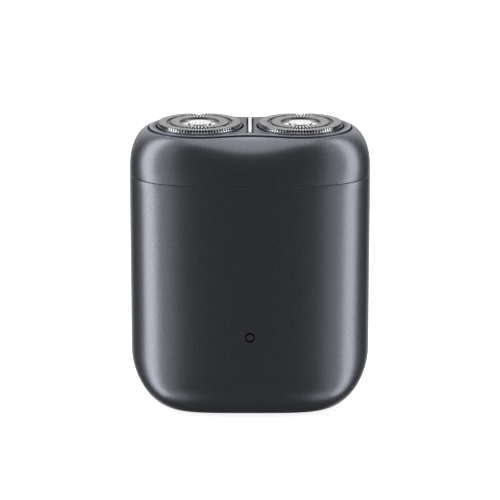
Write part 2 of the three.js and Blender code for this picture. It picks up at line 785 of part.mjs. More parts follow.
// The guard is a thin cap with two raised shaving tracks and a sunk middle.
function guard() {
  const t = GUARD_WALL;
  const top = GUARD_TOP;
  const cap = turned(
    [
      [0, top - 1],
      [5.1, top - 1],
      [5.3, top - 0.5],
      [GUARD_R - t, top - 0.5],
      [GUARD_R - t, GUARD_BOTTOM],
      [GUARD_R, GUARD_BOTTOM],
      [GUARD_R, top - 0.3],
      [GUARD_R - 0.3, top],
      [9.35, top],
      [9.15, top - 0.25],
      [8.3, top - 0.25],
      [8.1, top],
      [5.6, top],
      [5.4, top - 0.6],
      [0, top - 0.6],
    ],
    28,
  );
  const pinHole = crossRod(0.5, -13, 13, 8).translate(0, 0, PIVOT_Z);
  return cut(cap, pinHole);
}

// The cutter's two rings of blades run just under the guard's two tracks.
function cutter() {
  const low = 79.2;
  const bladeTop = GUARD_TOP - 0.6;
  const disc = tube(11.2, 4.2, low, low + 0.5, 20);
  const blade = (radius, length, angle) =>
    block(length, 0.5, low + 0.2, bladeTop).translate(radius, 0, 0).rotateZ(angle);
  const rings = [
    [10.4, 1.3, 12],
    [6.7, 1.6, 8],
  ];
  const blades = rings.flatMap(([radius, length, count]) =>
    steps(count)
      .slice(0, -1)
      .map((k) => blade(radius, length, k * 2 * Math.PI)),
  );
  return join(disc, ...blades);
}

const cutterHub = () =>
  cut(
    turned(
      [
        [0, 76.6],
        [4.2, 76.6],
        [4.2, 78.5],
        [7.4, 78.5],
        [7.4, 79.1],
        [3.9, 79.1],
        [3.9, 80.1],
        [0, 80.1],
      ],
    ),
    rod(2.6, 75, 78.9, 6),
  );

const centreDisc = () =>
  turned(
    [
      [0, GUARD_TOP - 0.5],
      [3.35, GUARD_TOP - 0.5],
      [3.35, GUARD_TOP - 0.3],
      [3.1, GUARD_TOP - 0.12],
      [0, GUARD_TOP - 0.05],
    ],
    20,
  );

for (const [name, side] of SIDES) {
  const x = side * HEAD_X;
  add(`carrier_${name}`, carrier(), BLACK_PLASTIC, x);
  add(`wave_spring_${name}`, waveSpring(), SPRING_STEEL, x);
  add(`guard_${name}`, guard(), BLADE_STEEL, x);
  add(`centre_disc_${name}`, centreDisc(), POLISHED_STEEL, x);
  add(`cutter_${name}`, cutter(), BLADE_STEEL, x);
  add(`cutter_hub_${name}`, cutterHub(), WHITE_PLASTIC, x);
}

export default shaver;
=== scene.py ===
# Looks for a pocket rotary shaver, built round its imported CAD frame.
# Shapes are worked out in millimetres from the CAD part's driving dimensions and made in metres.
# +Z is up and -Y is the front, where the button is. The origin is the middle of the flat base.

import json
import math

import bmesh
import bpy
import numpy as np
from mathutils import Matrix, Vector


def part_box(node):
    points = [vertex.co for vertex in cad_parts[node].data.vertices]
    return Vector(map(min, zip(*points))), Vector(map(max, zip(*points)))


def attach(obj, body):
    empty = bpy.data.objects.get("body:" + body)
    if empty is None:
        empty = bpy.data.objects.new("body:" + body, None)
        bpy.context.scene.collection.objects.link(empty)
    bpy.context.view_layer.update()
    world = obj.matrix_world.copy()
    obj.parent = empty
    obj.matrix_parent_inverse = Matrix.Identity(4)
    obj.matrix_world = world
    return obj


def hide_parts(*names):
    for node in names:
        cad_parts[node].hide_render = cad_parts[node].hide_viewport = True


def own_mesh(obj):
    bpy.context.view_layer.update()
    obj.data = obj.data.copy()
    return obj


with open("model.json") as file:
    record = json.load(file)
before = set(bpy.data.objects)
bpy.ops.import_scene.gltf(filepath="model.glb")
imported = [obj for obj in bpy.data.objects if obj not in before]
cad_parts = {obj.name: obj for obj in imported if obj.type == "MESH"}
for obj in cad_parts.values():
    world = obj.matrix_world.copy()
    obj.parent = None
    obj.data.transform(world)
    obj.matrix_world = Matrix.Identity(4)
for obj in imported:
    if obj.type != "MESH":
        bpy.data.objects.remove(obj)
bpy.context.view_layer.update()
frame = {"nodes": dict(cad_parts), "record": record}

# ---------- driving dimensions, in millimetres ----------
MM = 0.001
HALF_WIDTH = 34
HALF_DEPTH = 20
SECTION_POWER = 2.74  # exponent of the superellipse that the casing's section is
BASE_POWER = 4.3  # the same exponent at the base, where the section is squarer
POINT_SPREAD = 0.14  # evens out the spacing of a section's points
TAPER, TAPER_TOP = 0.32, 60  # the sides draw in by this much, from this height down to the base
CORNER_RISE, CORNER_RUN = 16.4, 14.3  # bottom corners, seen from the front
EDGE_RISE, EDGE_RUN = 9.1, 7  # bottom edge, seen from the side
BASE_FLAT = 0.985  # the flat base's size against the section just over it
WALL, FLOOR = 1.6, 1.8
CUP_ROWS = (9, 5, 3, 2.2)  # heights of the rings that round the bottom of the cup's inside
SEAM = 67.2
SEAM_GAP = 0.07  # the fine line that shows; the lips behind it stand further apart
SEAM_FILLET = 0.2
BODY_LIP, HEAD_LIP = 67.29, 67.29 + SEAM_GAP
LIP_FLAT, LIP_FOOT = 0.6, 0.7  # how far in a lip's flat end reaches, and the foot of its step
LIP_STEP = 0.1  # the head's lip steps up by this behind its flat end
MOUTH_EASE = 0.15  # bevel of the cup's inside edge
SHOULDER, SHOULDER_RISE = 69.2, 11.45
RIM = 80.1
SHELL_LIP = RIM - 2.1  # the bottom of the wall round the head shell's opening

HEAD_X = 14.25  # each shaving head's axis is this far from the middle
LOBE_X, LOBE_Y, WAIST_Y = 14.3, 13.9, 11.75
RIM_WIDTH = 0.4
RIM_ROLL = RIM_WIDTH - 0.02  # width of the rim's rounding, a hair less than the rim's own
RIM_CROWN, RIM_DROP = 0.05, 0.3  # where the rounding starts over the rim, and how far it falls
RIM_STEPS = 7
GROOVE = 0.35
HEAD_HOLE = 12.45
PLATE_TOP, PLATE_BOTTOM = 80.6, 79.4
PLATE_EDGE, PLATE_CROWN = 0.15, 0.9  # height of the top plate's rounding, and its outer width
HIGHLIGHT_SLOPE = 0.9  # least upward part of the normal where that outer edge gets a lighter coat, a painted highlight
SLOT_WIDTH, SLOT_LENGTH = 1.9, 20.1
STRIP_CORNER, STRIP_EASE = 1.2, 0.16

GUARD_R, GUARD_TOP, GUARD_BOTTOM = 12, 81.8, 77.2
GUARD_SHEET = 0.28
SUNK_R, SUNK_DEPTH = 5.25, 0.7  # the guard's sunk middle
INNER_TRACK_IN, INNER_TRACK_OUT, OUTER_TRACK_IN = 5.6, 8.15, 9.35
VALLEY_IN, VALLEY_R, VALLEY_OUT = 8.35, 8.7, 9.1  # the groove between the two tracks
VALLEY_DEPTH = 0.45
SLOT_DROP = 0.28  # how far down a track's walls its slots reach
SKIRT_SLOTS, LEDGE = 0.85, 0.25  # the outer slots end on a small slanted ledge
SKIRT_PAST = 0.05  # and run on past it by this much
SLACK = 0.05  # margin where parts of the guard are told apart by their radius
GROUND_DEPTH = 0.12  # how far down the grinding of the guard's top reaches
FACES_UP = 0.7  # least upward part of the normal of a ground or polished face
SKIRT_R = GUARD_R - 0.32  # only the skirt lies outside this radius
DISC_R, DISC_DOME = 3.35, 0.18
DISC_FOOT = 0.15  # how far the disc reaches down into the guard
NOTCH_R = 0.3
OUTER_SLOTS, INNER_SLOTS = 88, 48
SLOT_SHARE = 0.6  # the part of each step that is slot, and not rib
GUARD_COLUMNS = 528  # a whole number of columns to each slot of both tracks

BUTTON_Z = 23.9
BUTTON_HOLE = 1.47
RING_R, CAP_R = 1.4, 0.85
RING_BORE = CAP_R + 0.05
RING_FLANGE = RING_R + 1
FLANGE_BACK, FLANGE_FRONT = -2.4, -1.9  # measured out from the casing's front
CAP_BACK, CAP_FRONT = -2.65, -0.02
PORT_WIDTH, PORT_DEPTH = 9.6, 3.9
PORT_FLARE, PORT_FLARE_TOP = 1.03, 0.15  # the port's mouth widens over its last part

DECK_Z, DECK_TOP, SPIGOT_TOP = 64.2, 66.4, 69.4
DECK_INSET = WALL + 0.3
SPIGOT_OUT, SPIGOT_IN = 1.95, 3.2  # the spigot's two faces, measured in from the casing's outside
DECK_BORE, DECK_SCREW_HOLE = 4, 1.2
BOSS_MOUTH, BOSS_IN, BOSS_OUT = 2, 3.5, 4.6  # radii
BOSS_BOTTOM, BOSS_CEILING, BOSS_TOP = DECK_Z - 2, DECK_TOP + 1.6, DECK_TOP + 1.8
MAGNET_R, MAGNET_Y = 2.5, 12
POCKET_R, POCKET_FLOOR = MAGNET_R + 0.3, DECK_TOP - 1.6
RETAINER_INSET, RETAINER_THICK = WALL + 0.4, 2.2
RETAINER_HOLE, RETAINER_SCREW_HOLE = 11.4, 1.1
POST_R, POST_POCKET_TOP = 3.7, DECK_TOP + 1.7
DECK_SCREW_X, FRAME_SCREW_Y = 28.5, 6
SCREW_R, SCREW_HEAD, SCREW_SOCKET = 0.88, 0.95, 0.5
SHAFT_R, SHAFT_TOP = 1.5, 73.8
COLLAR_R, COLLAR_THICK, COLLAR_TOP = 2.9, 0.5, 69.2
SPRING_TOP = 74
COIL_R, COIL_WIRE_R, COIL_TURNS = 2.25, 0.25, 5.5
COIL_SIDES, COIL_POINTS = 12, 265
CAP_R_OUT, CAP_BOTTOM, CAP_TOP = 3.4, 70.5, 75.6
CAP_BORE, SOCKET_R = 2.8, 1.85  # the wide bore round the spring, and the hexagon over it
TIP_R, TIP_TOP = 2.1, 78.3
CARRIER_IN, CARRIER_OUT, CARRIER_LOW, CARRIER_TOP = 12.3, 12.95, 76.9, 79.25
PIVOT_Z, PIN_R, PIN_INNER = 78, 0.35, 11.75
WAVE_IN, WAVE_OUT = GUARD_R + 0.12, CARRIER_OUT - 0.05  # clear of the guard, which tilts
WAVE_LOW, WAVE_HIGH, WAVE_SHEET = 75.4, 76.8, 0.3
WAVES, WAVE_COLUMNS = 4, 160
SHELL_SHEET, SHELL_FLOOR = 0.3, 0.6  # of the charging socket
TONGUE_WIDTH, TONGUE_THICK = 6.7, 0.7
GASKET_OUT, GASKET_IN = (13, 7.2), (9.5, 3.7)  # width and depth of its outline and its hole

COLUMNS = 288  # round the casing
CORNER_ROWS, SIDE_ROWS = 46, 22  # rings of the body's bottom corners, and of its sides
SHOULDER_ROWS, INSIDE_ROWS = 40, 16  # rings of the shoulder, outside and inside
FILLET_STEPS = 4
PAST = 1  # how far a cutting tool reaches past the face that it cuts through
SIDES = (("left", -1), ("right", 1))
ENDS = (("front", -1), ("rear", 1))


# ---------- materials ----------
# A noise scale is the number of its cells in a metre. Depths of bumps are in millimetres.
COAT_METALLIC = 0.92
FLAKES, SHEEN, ORANGE_PEEL = 5200, 3600, 3000
PEEL_DEPTH, GRAIN_DEPTH, LINE_DEPTH, TRACK_DEPTH = 0.0022, 0.02, 0.0015, 0.02
TONES = 120  # slow changes of tone in moulded plastic
ALONG_Y, ALONG_Z, EVEN = (1, 0.05, 1), (1, 1, 0.1), (1, 1, 1)  # the way a metal's lines run


class Shader:
    """A procedural material: a Principled surface and the few texture steps used here."""

    def __init__(self, name, colour, roughness, metallic):
        self.material = bpy.data.materials.new(name)
        self.material.use_nodes = True
        self.tree = self.material.node_tree
        self.surface = self.tree.nodes["Principled BSDF"]
        self.place = self.node("ShaderNodeTexCoord").outputs["Object"]
        self.set("Base Color", (*colour, 1))
        self.set("Roughness", roughness)
        self.set("Metallic", metallic)

    def node(self, kind, **values):
        made = self.tree.nodes.new(kind)
        for key, value in values.items():
            setattr(made, key, value)
        return made

    def set(self, socket, value):
        self.surface.inputs[socket].default_value = value

    def link(self, source, socket):
        self.tree.links.new(source, self.surface.inputs[socket])

    def noise(self, scale, detail=2.0, stretch=(1, 1, 1)):
        spread = self.node("ShaderNodeMapping")
        spread.inputs["Scale"].default_value = stretch
        self.tree.links.new(self.place, spread.inputs["Vector"])
        texture = self.node("ShaderNodeTexNoise")
        texture.inputs["Scale"].default_value = scale
        texture.inputs["Detail"].default_value = detail
        self.tree.links.new(spread.outputs["Vector"], texture.inputs["Vector"])
        return texture.outputs["Fac"]

    def remap(self, value, low, high, start=0.3, end=0.7):
        step = self.node("ShaderNodeMapRange")
        for key, number in zip(("From Min", "From Max", "To Min", "To Max"), (start, end, low, high)):
            step.inputs[key].default_value = number
        self.tree.links.new(value, step.inputs["Value"])
        return step.outputs["Result"]

    def blend(self, factor, first, second):
        step = self.node("ShaderNodeMix", data_type="RGBA")
        self.tree.links.new(factor, step.inputs["Factor"])
        step.inputs["A"].default_value = (*first, 1)
        step.inputs["B"].default_value = (*second, 1)
        return step.outputs["Result"]

    def bump(self, height, distance_mm):
        step = self.node("ShaderNodeBump")
        step.inputs["Strength"].default_value = 1
        step.inputs["Distance"].default_value = distance_mm * MM
        self.tree.links.new(height, step.inputs["Height"])
        self.link(step.outputs["Normal"], "Normal")


def scaled(colour, factor):
    """A lighter or darker shade of a colour."""
    return tuple(min(1, channel * factor) for channel in colour)


def metallic_coat(name, colour, roughness, flake):
    """Satin metallic paint: fine bright and dark flakes over a faint orange peel."""
    shader = Shader(name, colour, roughness, COAT_METALLIC)
    flakes = shader.remap(shader.noise(FLAKES, 1), 0, 1, start=0.35, end=0.68)
    tone = shader.blend(flakes, scaled(colour, 1 - flake), scaled(colour, 1 + flake))
    shader.link(tone, "Base Color")
    sheen = shader.remap(shader.noise(SHEEN, 1), roughness - 0.04, roughness + 0.06)
    shader.link(sheen, "Roughness")
    shader.bump(shader.noise(ORANGE_PEEL, 1), PEEL_DEPTH)
    return shader.material


def moulded_plastic(name, colour, roughness, grain=900):
    """Moulded plastic with a fine spark-eroded grain."""
    shader = Shader(name, colour, roughness, 0)
    tones = shader.remap(shader.noise(TONES, 3), 0, 1)
    shader.link(shader.blend(tones, scaled(colour, 0.82), scaled(colour, 1.2)), "Base Color")
    sheen = shader.remap(shader.noise(grain, 3), roughness - 0.06, roughness + 0.08)
    shader.link(sheen, "Roughness")
    shader.bump(shader.noise(grain, 3), GRAIN_DEPTH)
    return shader.material


def brushed_metal(name, colour, roughness, stretch, grain=2400, dark=0.8):
    """Metal with fine lines, drawn along the direction that the stretch leaves long."""
    shader = Shader(name, colour, roughness, 1)
    lines = shader.noise(grain, 3, stretch)
    tone = shader.blend(shader.remap(lines, 0, 1), scaled(colour, dark), scaled(colour, 1.1))
    shader.link(tone, "Base Color")
    sheen = shader.remap(lines, max(0.03, roughness - 0.05), roughness + 0.08)
    shader.link(sheen, "Roughness")
    shader.bump(lines, LINE_DEPTH)
    return shader.material


def circuit_board(name):
    """Green solder mask over faint copper tracks."""
    shader = Shader(name, (0.02, 0.12, 0.06), 0.35, 0)
    tracks = shader.remap(shader.noise(700, 0, stretch=(0.15, 1, 1)), 0, 1, start=0.5, end=0.54)
    shader.link(shader.blend(tracks, (0.015, 0.1, 0.05), (0.04, 0.2, 0.1)), "Base Color")
    shader.bump(tracks, TRACK_DEPTH)
    return shader.material


def smoked_lens(name):
    """Dark translucent plastic over a light."""
    shader = Shader(name, (0.006, 0.006, 0.007), 0.22, 0)
    shader.link(shader.remap(shader.noise(1500, 2), 0.18, 0.3), "Roughness")
    shader.set("Coat Weight", 0.3)
    shader.bump(shader.noise(700, 1), 0.002)
    return shader.material


MATERIALS = {
    "graphite_coat": metallic_coat("satin_graphite_coat", (0.27, 0.283, 0.323), 0.31, 0.19),
    "plate_grey": metallic_coat("satin_plate_coat", (0.142, 0.155, 0.185), 0.4, 0.24),
    "black_plastic": moulded_plastic("matt_black_plastic", (0.012, 0.012, 0.013), 0.5),
    "dark_plastic": moulded_plastic("matt_grey_plastic", (0.05, 0.05, 0.055), 0.55),
    "white_plastic": moulded_plastic("natural_acetal", (0.72, 0.72, 0.69), 0.38, grain=600),
    "blade_steel": brushed_metal(
        "ground_blade_steel", (0.84, 0.85, 0.87), 0.15, ALONG_Z, grain=900, dark=0.93
    ),
    "polished_steel": brushed_metal("polished_steel", (0.9, 0.9, 0.91), 0.07, ALONG_Y, grain=1800),
    "spring_steel": brushed_metal("drawn_spring_steel", (0.55, 0.55, 0.57), 0.28, ALONG_Z),
    "zinc_steel": brushed_metal("zinc_plated_steel", (0.6, 0.61, 0.64), 0.32, EVEN, grain=1500),
    "brass": brushed_metal("machined_brass", (0.7, 0.5, 0.2), 0.28, stretch=(0.2, 0.2, 1)),
    "silicone": moulded_plastic("soft_silicone", (0.03, 0.032, 0.036), 0.6, grain=700),
    "board": circuit_board("printed_board"),
    "cell_wrap": moulded_plastic("shrink_sleeve", (0.03, 0.13, 0.4), 0.3, grain=400),
    "red_wire": moulded_plastic("red_insulation", (0.35, 0.015, 0.015), 0.4, grain=500),
    "light_guide": smoked_lens("smoked_light_ring"),
}
# Besides the record's slots: dark cutter steel that is painted shade, a lighter plate edge that is a
# painted highlight, and dark guard steel that is painted shade.
PAINTED_SHADE_CUTTER_STEEL = brushed_metal("painted_shade_cutter_steel", (0.05, 0.05, 0.052), 0.5, ALONG_Z)
# A lighter coat for the top plate's edge: a painted highlight.
PAINTED_HIGHLIGHT_EDGE = metallic_coat("painted_highlight_plate_edge", (0.25, 0.265, 0.3), 0.3, 0.12)
# Dark steel for the guards off their ground tracks: painted shade.
PAINTED_SHADE_GUARD_STEEL = brushed_metal(
    "painted_shade_guard_steel", (0.2, 0.2, 0.205), 0.42, EVEN, grain=900, dark=0.85
)


def wear(obj, slot):
    """Gives an object the material of a slot, and no other."""
    obj.data.materials.clear()
    obj.data.materials.append(MATERIALS[slot])


# ---------- mesh helpers ----------
MERGE = 1e-8  # points nearer than this, in metres, are one point


def linked(name, data):
    """A new object in the scene."""
    obj = bpy.data.objects.new(name, data)
    bpy.context.scene.collection.objects.link(obj)
    return obj


def new_object(name, vertices, faces):
    """A mesh object from points in millimetres, closed, with its faces turned outwards."""
    mesh = bpy.data.meshes.new(name)
    places = (np.asarray(vertices, float) * MM).tolist()
    mesh.from_pydata(places, [], [list(map(int, face)) for face in faces])
    work = bmesh.new()
    work.from_mesh(mesh)
    bmesh.ops.remove_doubles(work, verts=work.verts, dist=MERGE)
    loose = [v for v in work.verts if not v.link_faces]
    bmesh.ops.delete(work, geom=loose, context="VERTS")
    bmesh.ops.recalc_face_normals(work, faces=work.faces)
    work.to_mesh(mesh)
    work.free()
    return linked(name, mesh)


def shade(obj, sharp_degrees, weighted=True):
    """Smooth shading, but for the edges that turn by more than the angle."""
    obj.data.polygons.foreach_set("use_smooth", [True] * len(obj.data.polygons))
    obj.data.set_sharp_from_angle(angle=math.radians(sharp_degrees))
    if weighted:
        obj.modifiers.new("face_weighted", "WEIGHTED_NORMAL").keep_sharp = True


def finish_piece(obj, body, slot, node, sharp_degrees=38, weighted=True):
    """Shades a piece, gives it its material and lets it stand for its CAD node on its body."""
    shade(obj, sharp_degrees, weighted)
    wear(obj, slot)
    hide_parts(node)
    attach(obj, body)


def boolean(obj, tool, operation):
    """Applies a boolean with another object, which is then removed."""
    step = obj.modifiers.new(operation, "BOOLEAN")
    step.operation = operation
    step.object = tool
    step.solver = "EXACT"
    graph = bpy.context.evaluated_depsgraph_get()
    result = bpy.data.meshes.new_from_object(obj.evaluated_get(graph))
    obj.modifiers.clear()
    obj.data = result
    bpy.data.objects.remove(tool)
    return obj


def ring_faces(count, rows, closed=True):
    """Quads between successive rings of points; a closed set joins the last ring to the first."""
    row, column = np.meshgrid(np.arange(rows if closed else rows - 1), np.arange(count), indexing="ij")
    this_row, next_row = row * count, (row + 1) % rows * count
    following = (column + 1) % count
    quads = (this_row + column, this_row + following, next_row + following, next_row + column)
    return np.stack(quads, -1).reshape(-1, 4)


def lofted(name, rings):
    """A solid whose surface is a closed chain of rings with the same number of points."""
    points = np.concatenate(rings)
    return new_object(name, points, ring_faces(len(rings[0]), len(rings)))


def at_height(outline, z):
    """An outline's points as a level ring."""
    return np.column_stack([outline, np.full(len(outline), float(z))])


def unit(vector):
    return vector / np.linalg.norm(vector)


def rounded(corners, steps=4, closed=True):
    """A profile's points, with an arc at each corner given as (x, y, fillet radius)."""
    points = []
    for i, (x, y, fillet) in enumerate(corners):
        corner = np.array((x, y), float)
        if not fillet or (not closed and i in (0, len(corners) - 1)):
            points.append(corner)
            continue
        back = unit(np.array(corners[i - 1][:2]) - corner)
        ahead = unit(np.array(corners[(i + 1) % len(corners)][:2]) - corner)
        half = math.acos(np.clip(back @ ahead, -1, 1)) / 2
        centre = corner + unit(back + ahead) * fillet / math.sin(half)
        start, end = (corner + way * fillet / math.tan(half) - centre for way in (back, ahead))
        first = math.atan2(start[1], start[0])
        sweep = (math.atan2(end[1], end[0]) - first + math.pi) % (2 * math.pi) - math.pi
        for k in range(steps + 1):
            angle = first + sweep * k / steps
            points.append(centre + fillet * np.array((math.cos(angle), math.sin(angle))))
    return np.array(points)


def quarter_turn(steps):
    """A quarter circle from (0, 0) to (1, 1), as (sine, 1 - cosine) in even steps."""
    return [(math.sin(a), 1 - math.cos(a)) for a in np.linspace(0, math.pi / 2, steps + 1)]


def round_angles(count):
    """Even steps round a full turn."""
    return np.arange(count) * 2 * math.pi / count


def around(x, y, radius, angles, z):
    """Points round a vertical axis, at one height or each at its own."""
    across, along = x + radius * np.cos(angles), y + radius * np.sin(angles)
    return np.column_stack([across, along, np.full(len(angles), z)])


def turned(name, corners, x=0, y=0, steps=96):
    """A closed profile of (radius, height, fillet) corners turned about a vertical axis.

    With six steps it is a hexagonal bar. A profile that starts and ends on the axis is solid."""
    angles = round_angles(steps)
    return lofted(name, [around(x, y, r, angles, z) for r, z in rounded(corners)])


def lay_along_y(obj, y, z):
    """Turns a piece made about the vertical axis so that its top faces the front."""
    points = np.array([v.co for v in obj.data.vertices]).reshape(-1, 3)
    moved = np.column_stack([points[:, 0], y * MM - points[:, 2], z * MM + points[:, 1]])
    obj.data.vertices.foreach_set("co", moved.ravel())
    obj.data.update()
    return obj


def to_axis(corners):
    """The profile of a solid: the corners, joined to the axis from the first and the last."""
    return [(0, corners[0][1], 0), *corners, (0, corners[-1][1], 0)]


def pin(radius, low, high, ease=0.1):
    """The profile of a plain round pin or disc."""
    return to_axis([(radius, low, ease), (radius, high, ease)])


def ring(inner, outer, low, high, ease=0.1):
    """The profile of a ring with a rectangular section."""
    return [(inner, low, ease), (outer, low, ease), (outer, high, ease), (inner, high, ease)]


def stadium(width, depth, count):
    """Points round a slot with half-round ends, starting at its right end."""
    radius = min(width, depth) / 2
    flat_x, flat_y = width / 2 - radius, depth / 2 - radius
    angles = round_angles(count)
    points = np.column_stack([np.cos(angles), np.sin(angles)]) * radius
    points[:, 0] += flat_x * np.sign(np.round(points[:, 0], 9))
    points[:, 1] += flat_y * np.sign(np.round(points[:, 1], 9))
    return points


def slab(name, outline, holes, low, high, edge_low=0.1, edge_high=0.3, steps=4, crown=None):
    """A flat plate with rounded edges. An outline is a function of how far it grows outwards.

    A crown is the width of the outer top edge's rounding, where it is wider than it is high."""
    work = bmesh.new()
    bottom, top = [], []
    outlines = [(outline, 1, crown or edge_high), *((hole, -1, edge_high) for hole in holes)]
    arc = quarter_turn(steps)
    for make, sign, wide in outlines:
        profile = [(edge_low * (inset - 1), low + edge_low * rise) for inset, rise in arc]
        profile += [(-wide * rise, high - edge_high * (1 - inset)) for inset, rise in arc]
        rings = []
        for grow, z in profile:
            level = at_height(make(sign * grow), z) * MM
            rings.append([work.verts.new(point) for point in level])
        for first, second in zip(rings, rings[1:]):
            for k in range(len(first)):
                n = (k + 1) % len(first)
                work.faces.new((first[k], first[n], second[n], second[k]))
        for store, end in ((bottom, rings[0]), (top, rings[-1])):
            store += [work.edges.get((end[k - 1], end[k])) for k in range(len(end))]
    for edges in (bottom, top):
        bmesh.ops.triangle_fill(work, edges=edges, use_beauty=True)
    bmesh.ops.recalc_face_normals(work, faces=work.faces)
    mesh = bpy.data.meshes.new(name)
    work.to_mesh(mesh)
    work.free()
    return linked(name, mesh)


def circle(x, y, radius, count=120):
    """An outline function for a round hole or disc."""
    angles = round_angles(count)

    def outline(grow=0):
        return around(x, y, radius + grow, angles, 0)[:, :2]

    return outline


# ---------- the casing's surface, as in the CAD part ----------
ANGLES = round_angles(COLUMNS)


def quarter(t):
    """The height of a unit quarter circle at a distance t from its middle."""
    return np.sqrt(np.maximum(0, 1 - np.square(t)))


def superellipse(half_width, half_depth, power):
    """A section of the casing, with the same number of points at every height."""
    spread = ANGLES - POINT_SPREAD * np.sin(4 * ANGLES)
    across, along = np.cos(spread), np.sin(spread)
    return np.column_stack(
        [
            half_width * np.sign(across) * np.abs(across) ** (2 / power),
            half_depth * np.sign(along) * np.abs(along) ** (2 / power),
        ]
    )


def body_section(z, inset=0):
    """The body's section at a height, drawn in towards the base."""
    corner = max(0, 1 - z / CORNER_RISE)
    edge = max(0, 1 - z / EDGE_RISE)
    lean = TAPER * max(0, 1 - z / TAPER_TOP)
    half_width = HALF_WIDTH - lean - CORNER_RUN * (1 - quarter(corner))
    half_depth = HALF_DEPTH - EDGE_RUN * (1 - quarter(edge))
    power = SECTION_POWER + (BASE_POWER - SECTION_POWER) * corner**2
    return superellipse(half_width - inset, half_depth - inset, power)


def lobe_depth(x, grow):
    """Half the depth of the two-lobed outline at a distance x from the middle."""
    swell = (1 + np.cos(math.pi * np.minimum(x, HEAD_X) / HEAD_X)) / 2
    waist = LOBE_Y + grow - (LOBE_Y - WAIST_Y) * swell
    end = (LOBE_Y + grow) * quarter(np.clip((x - HEAD_X) / (LOBE_X + grow), 0, 1))
    return np.where(x <= HEAD_X, waist, end)


def lobed_outline(grow=0):
    """The top plate's two-lobed outline."""
    edge = superellipse(HEAD_X + LOBE_X + grow, 1, SECTION_POWER)
    depth = lobe_depth(np.abs(edge[:, 0]), grow)
    return np.column_stack([edge[:, 0], np.sign(edge[:, 1]) * depth])


def head_section(z, inset=0):
    """The body's section, drawn in over the shoulder to the two-lobed outline."""
    full = body_section(z, inset)
    rise = max(0, (z - SHOULDER) / SHOULDER_RISE)
    at_rim = (RIM - SHOULDER) / SHOULDER_RISE
    drawn_in = (1 - quarter(rise)) / (1 - quarter(at_rim))
    return full + (lobed_outline(GROOVE + RIM_WIDTH - inset) - full) * drawn_in


# ---------- camera, light and stage ----------
CAMERA_ELEVATION = 14.27
CAMERA_DISTANCE = 1.304
CAMERA_AIM = 44.3 * MM
LENS_MM, SENSOR_MM = 330.1, 36
VIEW_END = 20  # metres
LIGHT_DISTANCE = 1.0
LIGHT_LEAN = math.radians(17)  # the lights lean back, to stand about square to the camera
BACK_GLOW = math.radians(26)  # height above the horizon of the pale wall behind
GLOW_START, GLOW_FULL = 0.7, 0.96  # cosines of the angle from that wall's middle
ROOM_DARK = 0.052  # brightness of the rest of the room, in reflections
BACKDROP = 0.95  # brightness of what the camera sees behind the object
FLOOR_HALF, FLOOR_DROP, FLOOR_GLOW = 3000, 0.1, 0.82


def add_camera():
    data = bpy.data.cameras.new("camera")
    data.lens = LENS_MM
    data.sensor_width = SENSOR_MM
    data.clip_end = VIEW_END
    camera = linked("camera", data)
    tilt = math.radians(CAMERA_ELEVATION)
    camera.location = (
        0,
        -CAMERA_DISTANCE * math.cos(tilt),
        CAMERA_AIM + CAMERA_DISTANCE * math.sin(tilt),
    )
    camera.rotation_euler = (math.pi / 2 - tilt, 0, 0)
    bpy.context.scene.camera = camera


def add_softbox(name, azimuth, elevation, width, height, radiance):
    """A softbox aimed at the object. Azimuth is from the front, towards the object's right."""
    data = bpy.data.lights.new(name, "AREA")
    data.shape = "RECTANGLE"
    data.size, data.size_y = width, height
    data.energy = radiance * math.pi * width * height
    light = linked(name, data)
    a, e = math.radians(azimuth), math.radians(elevation)
    away = Vector((math.sin(a) * math.cos(e), -math.cos(a) * math.cos(e), math.sin(e)))
    lean = Matrix.Rotation(-LIGHT_LEAN, 3, "X")
    light.location = Vector((0, 0, CAMERA_AIM)) + lean @ away * LIGHT_DISTANCE
    light.rotation_euler = (lean @ away.to_track_quat("Z", "Y").to_matrix()).to_euler()
    light.visible_camera = False


def add_stage():
    """A pale floor that glows, so that it is as white as the backdrop."""
    signs = ((-1, -1), (1, -1), (1, 1), (-1, 1))
    corners = [(x * FLOOR_HALF, y * FLOOR_HALF, 0) for x, y in signs]
    floor = new_object("floor", corners, [(0, 1, 2, 3)])
    shader = Shader("pale_floor", (0.9, 0.9, 0.9), 0.9, 0)
    shader.link(shader.remap(shader.noise(3, 2), 0.85, 0.95), "Roughness")
    shader.set("Emission Color", (1, 1, 1, 1))
    shader.set("Emission Strength", FLOOR_GLOW)
    shader.set("Specular IOR Level", 0)
    floor.data.materials.append(shader.material)
    floor.location.z = -FLOOR_DROP * MM
    floor.visible_glossy = False
    floor.visible_diffuse = False
    floor.visible_shadow = False


